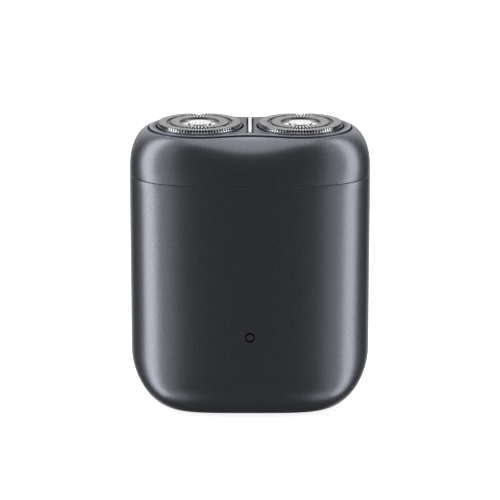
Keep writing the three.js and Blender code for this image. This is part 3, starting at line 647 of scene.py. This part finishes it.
def add_world():
    """White behind everything, and for reflections a room that is dark in front and grey behind."""
    world = bpy.data.worlds.new("studio")
    world.use_nodes = True
    tree = world.node_tree
    room = tree.nodes["Background"]
    place = tree.nodes.new("ShaderNodeTexCoord")
    fade = tree.nodes.new("ShaderNodeMapRange")
    limits = (("From Min", GLOW_START), ("From Max", GLOW_FULL), ("To Min", ROOM_DARK), ("To Max", 1))
    for key, value in limits:
        fade.inputs[key].default_value = value
    towards = tree.nodes.new("ShaderNodeVectorMath")
    towards.operation = "DOT_PRODUCT"
    towards.inputs[1].default_value = (0, math.cos(BACK_GLOW), math.sin(BACK_GLOW))
    tree.links.new(place.outputs["Generated"], towards.inputs[0])
    tree.links.new(towards.outputs["Value"], fade.inputs["Value"])
    tree.links.new(fade.outputs["Result"], room.inputs["Strength"])
    backdrop = tree.nodes.new("ShaderNodeBackground")
    backdrop.inputs["Strength"].default_value = BACKDROP
    rays = tree.nodes.new("ShaderNodeLightPath")
    mix = tree.nodes.new("ShaderNodeMixShader")
    tree.links.new(rays.outputs["Is Camera Ray"], mix.inputs["Fac"])
    tree.links.new(room.outputs["Background"], mix.inputs[1])
    tree.links.new(backdrop.outputs["Background"], mix.inputs[2])
    room.inputs["Color"].default_value = (1, 1, 1, 1)
    backdrop.inputs["Color"].default_value = (1, 1, 1, 1)
    tree.links.new(mix.outputs["Shader"], tree.nodes["World Output"].inputs["Surface"])
    bpy.context.scene.world = world


add_camera()
add_stage()
add_world()
# Each softbox: azimuth and elevation in degrees, width and height in metres, radiance.
for name, side in SIDES:
    strength = 2.05 - 0.2 * side  # the left strip is the brighter one
    add_softbox(f"strip_{name}", side * 81, 8, 0.52, 2.9, strength)
    add_softbox(f"fill_{name}", side * 49.5, 12, 0.42, 1.95, 0.4)
    add_softbox(f"low_fill_{name}", side * 55, -50, 0.45, 0.4, 0.55)
    add_softbox(f"rim_{name}", side * 160, -12, 0.35, 0.7, 0.6)
add_softbox("overhead", 0, 80, 0.65, 1.25, 0.8)
bpy.context.scene.view_settings.view_transform = "Standard"


# ---------- body casing ----------
def body_shell():
    """A cup with a real wall: outside up to the seam, rounded lip, inside, floor and port hole."""
    port = stadium(PORT_WIDTH, PORT_DEPTH, COLUMNS)
    # Each row: the height of the section it takes, how far in it lies, and its own height.
    rows = []
    for k in np.linspace(0, 1, CORNER_ROWS):
        z = CORNER_RISE * (1 - math.cos(k * math.pi / 2))
        rows.append((z, 0, z))
    sides = np.linspace(CORNER_RISE, BODY_LIP - SEAM_FILLET, SIDE_ROWS)[1:]
    rows += [(z, 0, z) for z in sides]
    for rise, inset in quarter_turn(FILLET_STEPS)[1:]:
        rows.append((SEAM, SEAM_FILLET * inset, BODY_LIP - SEAM_FILLET * (1 - rise)))
    rows += [(SEAM, LIP_FLAT, BODY_LIP), (SEAM, LIP_FOOT, SEAM), (SEAM, WALL - MOUTH_EASE, SEAM)]
    rows += [(z, WALL, z) for z in (SEAM - MOUTH_EASE, CORNER_RISE, *CUP_ROWS, FLOOR)]
    rings = [at_height(port * PORT_FLARE, 0), at_height(body_section(0) * BASE_FLAT, 0)]
    rings += [at_height(body_section(section_z, inset), z) for section_z, inset, z in rows]
    rings += [at_height(port, FLOOR), at_height(port, PORT_FLARE_TOP)]
    obj = lofted("casing_body", rings)
    reach = 5  # well past both faces of the wall
    tool = turned("hole_tool", pin(BUTTON_HOLE, -reach, reach, 0), steps=64)
    boolean(obj, lay_along_y(tool, -HALF_DEPTH, BUTTON_Z), "DIFFERENCE")
    finish_piece(obj, "housing", "graphite_coat", "body_shell", sharp_degrees=30, weighted=False)


def head_shell():
    """The shoulder above the seam, with a rounded rim round its two-lobed opening."""
    low = HEAD_LIP
    rings = []
    for out, rise in quarter_turn(FILLET_STEPS):
        section = body_section(low, SEAM_FILLET * (1 - out))
        rings.append(at_height(section, low + SEAM_FILLET * rise))
    for z in np.linspace(low + SEAM_FILLET, SHOULDER, 4)[1:]:
        rings.append(at_height(head_section(z), z))
    last = math.asin((RIM - SHOULDER) / SHOULDER_RISE)
    for k in np.linspace(0, 1, SHOULDER_ROWS)[1:]:
        z = SHOULDER + SHOULDER_RISE * math.sin(k * last)
        rings.append(at_height(head_section(z), z))
    for turn, drop in quarter_turn(RIM_STEPS):
        outline = lobed_outline(GROOVE + RIM_ROLL * (1 - turn))
        rings.append(at_height(outline, RIM + RIM_CROWN - RIM_DROP * drop))
    rings.append(at_height(lobed_outline(GROOVE), SHELL_LIP))
    inside_last = math.asin((SHELL_LIP - SHOULDER) / SHOULDER_RISE)
    for k in np.linspace(1, 0, INSIDE_ROWS):
        z = SHOULDER + SHOULDER_RISE * math.sin(k * inside_last)
        rings.append(at_height(head_section(z, WALL), z))
    rings.append(at_height(body_section(low, WALL), low + 2 * LIP_STEP))
    rings.append(at_height(body_section(low, LIP_FOOT), low + LIP_STEP))
    rings.append(at_height(body_section(low, LIP_FLAT), low))
    obj = lofted("casing_head", rings)
    finish_piece(obj, "head_unit", "graphite_coat", "head_shell", sharp_degrees=40, weighted=False)


def top_plate():
    """The two-lobed plate, with its two head holes, its slot and a crowned outer edge."""
    holes = [circle(side * HEAD_X, 0, HEAD_HOLE, 160) for _, side in SIDES]

    def slot(grow=0):
        return stadium(SLOT_WIDTH + 2 * grow, SLOT_LENGTH + 2 * grow, 64)

    steps = 8
    obj = slab(
        "lobed_plate",
        lobed_outline,
        [*holes, slot],
        PLATE_BOTTOM,
        PLATE_TOP,
        edge_high=PLATE_EDGE,
        steps=steps,
        crown=PLATE_CROWN,
    )
    finish_piece(obj, "head_unit", "plate_grey", "top_plate")
    # The outline's faces come first, row by row. The upward-facing ones of its crowned edge get a
    # lighter coat, a painted highlight.
    obj.data.materials.append(PAINTED_HIGHLIGHT_EDGE)
    for face in obj.data.polygons[: (2 * steps + 1) * COLUMNS]:
        row = face.index // COLUMNS
        face.material_index = 1 if row > steps and face.normal.z > HIGHLIGHT_SLOPE else 0


def centre_strip():
    """A polished bar seen from the side, its two top ends rounded, with all its edges eased."""
    low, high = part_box("centre_strip")
    width, half, foot, top = high.x / MM, high.y / MM, low.z / MM, high.z / MM

    def outline(inset):
        end, fillet = half - inset, STRIP_CORNER - inset
        return rounded(
            [
                (-end, foot + inset, 0),
                (end, foot + inset, 0),
                (end, top - inset, fillet),
                (-end, top - inset, fillet),
            ],
            steps=8,
        )

    side, face = outline(0), outline(STRIP_EASE)
    count = len(side)
    flank = width - STRIP_EASE
    rings = []
    for x, shape in ((-width, face), (-flank, side), (flank, side), (width, face)):
        rings.append(np.column_stack([np.full(count, x), shape]))
    faces = [*ring_faces(count, 4, closed=False), range(count), range(3 * count, 4 * count)]
    obj = new_object("centre_bar", np.concatenate(rings), faces)
    finish_piece(obj, "head_unit", "polished_steel", "centre_strip")


body_shell()
head_shell()
top_plate()
centre_strip()


# ---------- button ----------
def button():
    """The light ring, with a flange behind the casing's wall, and the cap inside it."""
    depth = HALF_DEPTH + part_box("light_ring")[0].y / MM
    ring_corners = [
        (RING_BORE, FLANGE_BACK, 0),
        (RING_FLANGE, FLANGE_BACK, 0.1),
        (RING_FLANGE, FLANGE_FRONT, 0.1),
        (RING_R, FLANGE_FRONT, 0.1),
        (RING_R, depth, 0.12),
        (RING_BORE, depth, 0.06),
    ]
    light_ring = turned("button_light_ring", ring_corners, steps=72)
    lay_along_y(light_ring, -HALF_DEPTH, BUTTON_Z)
    finish_piece(light_ring, "button", "light_guide", "light_ring")
    cap_corners = to_axis([(CAP_R, CAP_BACK, 0.1), (CAP_R, CAP_FRONT, 0.07)])
    cap = turned("button_centre", cap_corners, steps=72)
    lay_along_y(cap, -HALF_DEPTH, BUTTON_Z)
    finish_piece(cap, "button", "graphite_coat", "button_cap")


button()


# ---------- shaving heads ----------
def guard_profile():
    """The guard's outer skin from its axis to the bottom of its skirt, as (radius, height)."""
    top = GUARD_TOP
    return rounded(
        [
            (0, top - SUNK_DEPTH, 0),
            (SUNK_R, top - SUNK_DEPTH, 0.15),
            (INNER_TRACK_IN, top, 0.2),
            (INNER_TRACK_OUT, top, 0.2),
            (VALLEY_IN, top - VALLEY_DEPTH, 0.12),
            (VALLEY_OUT, top - VALLEY_DEPTH, 0.12),
            (OUTER_TRACK_IN, top, 0.2),
            (GUARD_R - LEDGE, top, 0.3),
            (GUARD_R - LEDGE, top - SKIRT_SLOTS + LEDGE, 0.05),
            (GUARD_R, top - SKIRT_SLOTS, 0.05),
            (GUARD_R, GUARD_BOTTOM, 0),
        ],
        5,
        closed=False,
    )


def with_slot_ends(profile, ends):
    """Adds a point where the profile passes a height between two radii, for each of the ends."""
    points = list(profile)
    for height, near, far in ends:
        for i, (first, second) in enumerate(zip(points, points[1:])):
            if first[1] == second[1] or not near < (first[0] + second[0]) / 2 < far:
                continue
            share = (height - first[1]) / (second[1] - first[1])
            if 0 < share < 1:
                points.insert(i + 1, first + (second - first) * share)
                break
    return np.array(points)


def offset_profile(profile, distance):
    """The profile moved inwards by the sheet's thickness."""
    steps = np.diff(profile, axis=0)
    normals = np.column_stack([steps[:, 1], -steps[:, 0]])
    normals /= np.linalg.norm(normals, axis=1)[:, None]
    at_points = np.vstack([normals[:1], normals[:-1] + normals[1:], normals[-1:]])
    at_points /= np.linalg.norm(at_points, axis=1)[:, None]
    moved = profile + at_points * distance
    moved[0, 0] = 0
    return moved


def slot_columns(slots):
    """Which columns a track's slots take up, and the columns' angles, spread to the slots' share."""
    per_slot = GUARD_COLUMNS // slots
    cut = per_slot // 2
    step, part = np.divmod(np.arange(GUARD_COLUMNS), per_slot)
    place = step + np.interp(part / per_slot, (0, cut / per_slot, 1), (0, SLOT_SHARE, 1))
    return part < cut, place * 2 * math.pi / slots


def paint_guard_shade(obj, x):
    """A darker steel, painted shade, goes on all of a guard but its ground tracks, its skirt and its
    middle, so its valley, its slots' walls and the underside of its sheet are darker.
    """
    obj.data.materials.append(PAINTED_SHADE_GUARD_STEEL)
    for face in obj.data.polygons:
        corners = np.array([obj.data.vertices[i].co for i in face.vertices]) / MM
        away = np.hypot(corners[:, 0] - x, corners[:, 1])
        upward = face.normal.z > FACES_UP
        ground = upward and corners[:, 2].min() > GUARD_TOP - GROUND_DEPTH
        sunk = upward and away.max() < SUNK_R + SLACK
        skirt = away.min() > SKIRT_R
        face.material_index = 0 if ground or sunk or skirt else 1


def guard(name, side):
    """A thin steel cap with two tracks of slots cut right through it."""
    top = GUARD_TOP
    skirt_end = SKIRT_SLOTS + SKIRT_PAST
    ends = [
        (top - SLOT_DROP, SUNK_R - SLACK, INNER_TRACK_IN + SLACK),
        (top - SLOT_DROP, INNER_TRACK_OUT - SLACK, VALLEY_IN + SLACK),
        (top - SLOT_DROP, VALLEY_OUT - SLACK, OUTER_TRACK_IN + SLACK),
        (top - skirt_end, GUARD_R - SLACK, GUARD_R + SLACK),
    ]
    outer = with_slot_ends(guard_profile(), ends)
    inner = offset_profile(outer, GUARD_SHEET)
    middle = (outer[1:] + outer[:-1]) / 2
    drop = np.where(middle[:, 0] > GUARD_R - 1, skirt_end, SLOT_DROP)
    slotted = middle[:, 1] > top - drop
    in_outer = slotted & (middle[:, 0] > VALLEY_R)
    in_inner = slotted & (middle[:, 0] < VALLEY_R)
    outer_cut, outer_angles = slot_columns(OUTER_SLOTS)
    inner_cut, inner_angles = slot_columns(INNER_SLOTS)
    solid = ~((in_outer[:, None] & outer_cut) | (in_inner[:, None] & inner_cut))

    x = side * HEAD_X
    rings = []
    for r, z in [*outer, *inner]:
        angles = outer_angles if r > VALLEY_R else inner_angles
        rings.append(around(x, 0, r, angles, z))
    points = np.concatenate(rings)

    rows = len(outer)
    under = rows * GUARD_COLUMNS
    row, col = np.nonzero(solid)
    following = (col + 1) % GUARD_COLUMNS
    corners = [row * GUARD_COLUMNS + col, row * GUARD_COLUMNS + following]
    corners += [(row + 1) * GUARD_COLUMNS + following, (row + 1) * GUARD_COLUMNS + col]
    sheet = np.stack(corners, -1)
    faces = [sheet, sheet[:, ::-1] + under]
    # Walls stand wherever a solid cell meets a slot, and round the bottom of the skirt.
    empty = np.zeros((1, GUARD_COLUMNS), bool)
    across = np.vstack([solid[:1], solid]) != np.vstack([solid, empty])
    row, col = np.nonzero(across)
    first, second = row * GUARD_COLUMNS + col, row * GUARD_COLUMNS + (col + 1) % GUARD_COLUMNS
    faces.append(np.stack([first, second, second + under, first + under], -1))
    row, col = np.nonzero(solid != np.roll(solid, 1, axis=1))
    first, second = row * GUARD_COLUMNS + col, (row + 1) * GUARD_COLUMNS + col
    faces.append(np.stack([first, second, second + under, first + under], -1))
    obj = new_object(f"slotted_guard_{name}", points, np.concatenate(faces))
    finish_piece(obj, f"shaving_head_{name}", "blade_steel", f"guard_{name}", weighted=False)
    # Darker steel off the ground tracks: painted shade.
    paint_guard_shade(obj, x)


def centre_disc(name, side):
    """A polished disc with a shallow dome and two small notches at its left and right."""
    low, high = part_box(f"centre_disc_{name}")
    base, top = low.z / MM - DISC_FOOT, high.z / MM
    x = side * HEAD_X
    dome = [(r, top - DISC_DOME * (r / DISC_R) ** 2, 0) for r in np.linspace(DISC_R - 0.2, 0, 10)]
    corners = [(0, base, 0), (DISC_R, base, 0.05), (DISC_R, top - DISC_DOME, 0.06), *dome]
    obj = turned(f"polished_disc_{name}", corners, x)
    for way in (-1, 1):
        notch = pin(NOTCH_R, base - PAST, top + PAST, 0)
        boolean(obj, turned("notch_tool", notch, x + way * DISC_R, steps=24), "DIFFERENCE")
    finish_piece(obj, f"shaving_head_{name}", "polished_steel", f"centre_disc_{name}")


def carrier(name, side):
    """The floating ring round a guard, with the two pins that the guard rocks on."""
    x = side * HEAD_X
    section = ring(CARRIER_IN, CARRIER_OUT, CARRIER_LOW, CARRIER_TOP)
    obj = turned(f"floating_ring_{name}", section, x, steps=160)
    root = CARRIER_IN + 0.3  # inside the ring's wall
    for way in (-1, 1):
        ends = sorted((way * PIN_INNER, way * root))
        stub = lay_along_y(turned("pin_tool", pin(PIN_R, *ends, 0.05), x, steps=32), 0, PIVOT_Z)
        boolean(obj, stub, "UNION")
    finish_piece(obj, f"float_{name}", "black_plastic", f"carrier_{name}")


def wave_spring(name, side):
    """A flat ring bent into waves, under the floating ring."""
    angles = round_angles(WAVE_COLUMNS)
    swing = (WAVE_HIGH - WAVE_LOW - WAVE_SHEET) / 2 * np.cos(WAVES * angles)
    rings = []
    for r, z in rounded(ring(WAVE_IN, WAVE_OUT, -WAVE_SHEET / 2, WAVE_SHEET / 2, 0.08)):
        height = (WAVE_LOW + WAVE_HIGH) / 2 + z + swing
        rings.append(around(side * HEAD_X, 0, r, angles, height))
    obj = lofted(f"bent_wave_spring_{name}", rings)
    finish_piece(obj, "head_unit", "spring_steel", f"wave_spring_{name}")
    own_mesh(obj)


for name, side in SIDES:
    guard(name, side)
    centre_disc(name, side)
    carrier(name, side)
    wave_spring(name, side)


# ---------- drive, seen when the head unit is lifted off ----------
def drive_cap(name, side):
    """A sprung plastic cap with a hexagonal tip, sliding on the spindle's hexagonal end."""
    x = side * HEAD_X
    corners = [
        (CAP_BORE, SPRING_TOP + 0.1, 0.2),
        (CAP_BORE, CAP_BOTTOM, 0.1),
        (CAP_R_OUT, CAP_BOTTOM, 0.15),
        (CAP_R_OUT, CAP_TOP, 0.5),
    ]
    cap = turned(f"moulded_drive_cap_{name}", to_axis(corners), x, steps=72)
    socket = pin(SOCKET_R, SPRING_TOP, CAP_TOP - 0.4, 0)
    boolean(cap, turned("socket_tool", socket, x, steps=6), "DIFFERENCE")
    tip = pin(TIP_R, CAP_TOP - 0.5, TIP_TOP, 0.25)
    boolean(cap, turned("tip_tool", tip, x, steps=6), "UNION")
    finish_piece(cap, f"coupler_{name}", "white_plastic", f"drive_cap_{name}")


def spindle(name, side):
    """A ground shaft with a collar for the cap's spring and a hexagonal end."""
    x = side * HEAD_X
    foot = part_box(f"spindle_shaft_{name}")[0].z / MM
    corners = [
        (SHAFT_R, foot, 0.15),
        (SHAFT_R, COLLAR_TOP - COLLAR_THICK, 0),
        (COLLAR_R, COLLAR_TOP - COLLAR_THICK, 0.1),
        (COLLAR_R, COLLAR_TOP, 0.1),
    ]
    shaft = turned(f"ground_spindle_{name}", to_axis(corners), x, steps=64)
    end = turned("end_tool", pin(SHAFT_R, COLLAR_TOP - 0.2, SHAFT_TOP, 0.15), x, steps=6)
    boolean(shaft, end, "UNION")
    finish_piece(shaft, f"spindle_{name}", "spring_steel", f"spindle_shaft_{name}")


def cap_spring(name, side):
    """Round wire coiled under the drive cap, with its end turns closed."""
    low, high = COLLAR_TOP + 0.1, SPRING_TOP
    turn = np.linspace(0, COIL_TURNS, COIL_POINTS)
    foot, head = low + COIL_WIRE_R, high - COIL_WIRE_R
    closed = 2.1 * COIL_WIRE_R  # what an end turn climbs
    heights = (foot, foot + closed, head - closed, head)
    height = np.interp(turn, (0, 1, COIL_TURNS - 1, COIL_TURNS), heights)
    round_wire = round_angles(COIL_SIDES)
    r = COIL_R + COIL_WIRE_R * np.cos(round_wire)
    lift = COIL_WIRE_R * np.sin(round_wire)
    rings = []
    for t, z in zip(turn * 2 * math.pi, height):
        rings.append(np.column_stack([side * HEAD_X + r * math.cos(t), r * math.sin(t), z + lift]))
    last = (COIL_POINTS - 1) * COIL_SIDES
    faces = [
        *ring_faces(COIL_SIDES, COIL_POINTS, closed=False),
        range(COIL_SIDES),
        range(last, last + COIL_SIDES),
    ]
    obj = new_object(f"coiled_cap_spring_{name}", np.concatenate(rings), faces)
    finish_piece(obj, f"spindle_{name}", "spring_steel", f"cap_spring_{name}", weighted=False)
    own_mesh(obj)


for name, side in SIDES:
    drive_cap(name, side)
    spindle(name, side)
    cap_spring(name, side)


# ---------- deck, and the frame under the head unit ----------
def deck():
    """The sealed deck: a plate with two shaft bosses, two magnet pockets and a ring-shaped spigot."""

    def outline(grow=0):
        return body_section(DECK_Z, DECK_INSET - grow)

    bores = [circle(side * HEAD_X, 0, DECK_BORE) for _, side in SIDES]
    screw_holes = [circle(side * DECK_SCREW_X, 0, DECK_SCREW_HOLE, 48) for _, side in SIDES]
    obj = slab("moulded_deck", outline, [*bores, *screw_holes], DECK_Z, DECK_TOP, 0.2, 0.2)
    root = DECK_TOP - 0.5  # inside the plate
    corners = rounded(
        [
            (SPIGOT_IN, root, 0),
            (SPIGOT_OUT, root, 0),
            (SPIGOT_OUT, SPIGOT_TOP, 0.4),
            (SPIGOT_IN, SPIGOT_TOP, 0.4),
        ]
    )
    spigot = [at_height(body_section(SEAM, inset), z) for inset, z in corners]
    boolean(obj, lofted("spigot_tool", spigot), "UNION")
    for _, side in SIDES:
        boss = [
            (BOSS_IN, BOSS_BOTTOM, 0.1),
            (BOSS_OUT, BOSS_BOTTOM, 0.2),
            (BOSS_OUT, BOSS_TOP, 0.5),
            (BOSS_MOUTH, BOSS_TOP, 0.15),
            (BOSS_MOUTH, BOSS_CEILING, 0),
            (BOSS_IN, BOSS_CEILING, 0),
        ]
        boolean(obj, turned("boss_tool", boss, side * HEAD_X), "UNION")
    for _, side in ENDS:
        pocket = pin(POCKET_R, POCKET_FLOOR, DECK_TOP + PAST, 0)
        boolean(obj, turned("pocket_tool", pocket, 0, side * MAGNET_Y, 64), "DIFFERENCE")
    finish_piece(obj, "housing", "black_plastic", "deck")


def retainer_frame():
    """The plate that holds the heads' springs, with two posts that reach down to the magnets."""
    low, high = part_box("retainer_frame")
    foot, plate_low, plate_high = low.z / MM, high.z / MM - RETAINER_THICK, high.z / MM

    def outline(grow=0):
        return head_section(plate_high, RETAINER_INSET - grow)

    holes = [circle(side * HEAD_X, 0, RETAINER_HOLE, 160) for _, side in SIDES]
    holes += [circle(0, side * FRAME_SCREW_Y, RETAINER_SCREW_HOLE, 48) for _, side in ENDS]
    obj = slab("moulded_retainer", outline, holes, plate_low, plate_high, 0.3, 0.15)
    root = plate_low + 0.5  # inside the plate
    for _, side in ENDS:
        post = [
            (POCKET_R, POST_POCKET_TOP, 0),
            (POCKET_R, foot, 0.1),
            (POST_R, foot, 0.25),
            (POST_R, root, 0),
        ]
        boolean(obj, turned("post_tool", to_axis(post), 0, side * MAGNET_Y, 80), "UNION")
    finish_piece(obj, "head_unit", "black_plastic", "retainer_frame")


def screw(node, new_name, body, x, y, faces_down=False):
    """A cap screw with a hexagonal socket, its length and head from the CAD node's box."""
    low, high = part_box(node)
    head, bottom, top = (high.x - low.x) / 2 / MM, low.z / MM, high.z / MM
    if faces_down:
        lower, upper, rim = head, SCREW_R, bottom + SCREW_HEAD
        socket = pin(head / 2, bottom - PAST, bottom + SCREW_SOCKET, 0)
    else:
        lower, upper, rim = SCREW_R, head, top - SCREW_HEAD
        socket = pin(head / 2, top - SCREW_SOCKET, top + PAST, 0)
    profile = [(lower, bottom, 0.15), (lower, rim, 0), (upper, rim, 0), (upper, top, 0.15)]
    obj = turned(new_name, to_axis(profile), x, y, 48)
    boolean(obj, turned("socket_tool", socket, x, y, 6), "DIFFERENCE")
    finish_piece(obj, body, "zinc_steel", node)


deck()
retainer_frame()
for name, side in SIDES:
    screw(f"deck_screw_{name}", f"deck_cap_screw_{name}", "housing", side * DECK_SCREW_X, 0)
for name, side in ENDS:
    node, new_name = f"frame_screw_{name}", f"frame_cap_screw_{name}"
    screw(node, new_name, "head_unit", 0, side * FRAME_SCREW_Y, faces_down=True)
    for node, new_name, body, slot in (
        (f"magnet_{name}", f"plated_magnet_{name}", "housing", "polished_steel"),
        (f"strike_disc_{name}", f"steel_strike_disc_{name}", "head_unit", "zinc_steel"),
    ):
        low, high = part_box(node)
        disc = turned(new_name, pin(MAGNET_R, low.z / MM, high.z / MM, 0.2), 0, side * MAGNET_Y, 80)
        finish_piece(disc, body, slot, node)


# ---------- charging socket ----------
def usb_receptacle():
    """A drawn steel shell with a tongue down its middle."""
    low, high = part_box("usb_receptacle")
    mouth, back = low.z / MM, high.z / MM
    width, depth = (high.x - low.x) / MM, (high.y - low.y) / MM
    outer = stadium(width, depth, 96)
    inner = stadium(width - 2 * SHELL_SHEET, depth - 2 * SHELL_SHEET, 96)
    lip = mouth + 0.1
    levels = (
        (outer * 0, back - SHELL_FLOOR),
        (inner, back - SHELL_FLOOR),
        (inner, lip),
        ((outer + inner) / 2, mouth),
        (outer, lip),
        (outer, back),
        (outer * 0, back),
    )
    shell = lofted("drawn_socket_shell", [at_height(outline, z) for outline, z in levels])
    half_width, half_thick = TONGUE_WIDTH / 2, TONGUE_THICK / 2
    signs = ((-1, -1), (1, -1), (1, 1), (-1, 1))
    tongue = rounded([(x * half_width, y * half_thick, 0.12) for x, y in signs])
    tip, root = mouth + 0.9, back - SHELL_FLOOR / 2
    levels = ((0, tip), (0.9, tip), (1, tip + 0.15), (1, root), (0, root))
    bar = lofted("tongue_tool", [at_height(tongue * size, z) for size, z in levels])
    boolean(shell, bar, "UNION")
    finish_piece(shell, "housing", "zinc_steel", "usb_receptacle", sharp_degrees=30)


def port_gasket():
    """A flat ring of soft rubber round the socket."""
    low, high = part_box("port_gasket")
    bottom, top = low.z / MM, high.z / MM
    outer, inner = stadium(*GASKET_OUT, 96), stadium(*GASKET_IN, 96)
    levels = ((inner, bottom), (outer, bottom), (outer, top), (inner, top))
    obj = lofted("soft_port_gasket", [at_height(outline, z) for outline, z in levels])
    finish_piece(obj, "housing", "silicone", "port_gasket")


usb_receptacle()
port_gasket()


# ---------- carried-over CAD nodes ----------
EDGE_WIDTH, EDGE_SHARE = 0.12, 0.08  # largest bevel, and its share of a node's smallest size
EDGE_ANGLE = 40  # degrees


def dress_cad_nodes():
    """Gives every CAD node that still shows its material, eased edges and face-weighted shading."""
    slots = {part["node"]: part["material_slot"] for part in frame["record"]["subparts"]}
    for name, obj in sorted(frame["nodes"].items()):
        if obj.hide_render:
            continue
        wear(obj, slots[name])
        # The cutters get near-black steel, a painted shade for the dark under the guards.
        if name.startswith("cutter_") and "hub" not in name:
            obj.data.materials[0] = PAINTED_SHADE_CUTTER_STEEL
        low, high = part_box(name)
        ease = obj.modifiers.new("eased_edges", "BEVEL")
        ease.width = min(EDGE_WIDTH * MM, EDGE_SHARE * min(high - low))
        ease.segments = 2
        ease.limit_method = "ANGLE"
        ease.angle_limit = math.radians(EDGE_ANGLE)
        shade(obj, EDGE_ANGLE)


dress_cad_nodes()
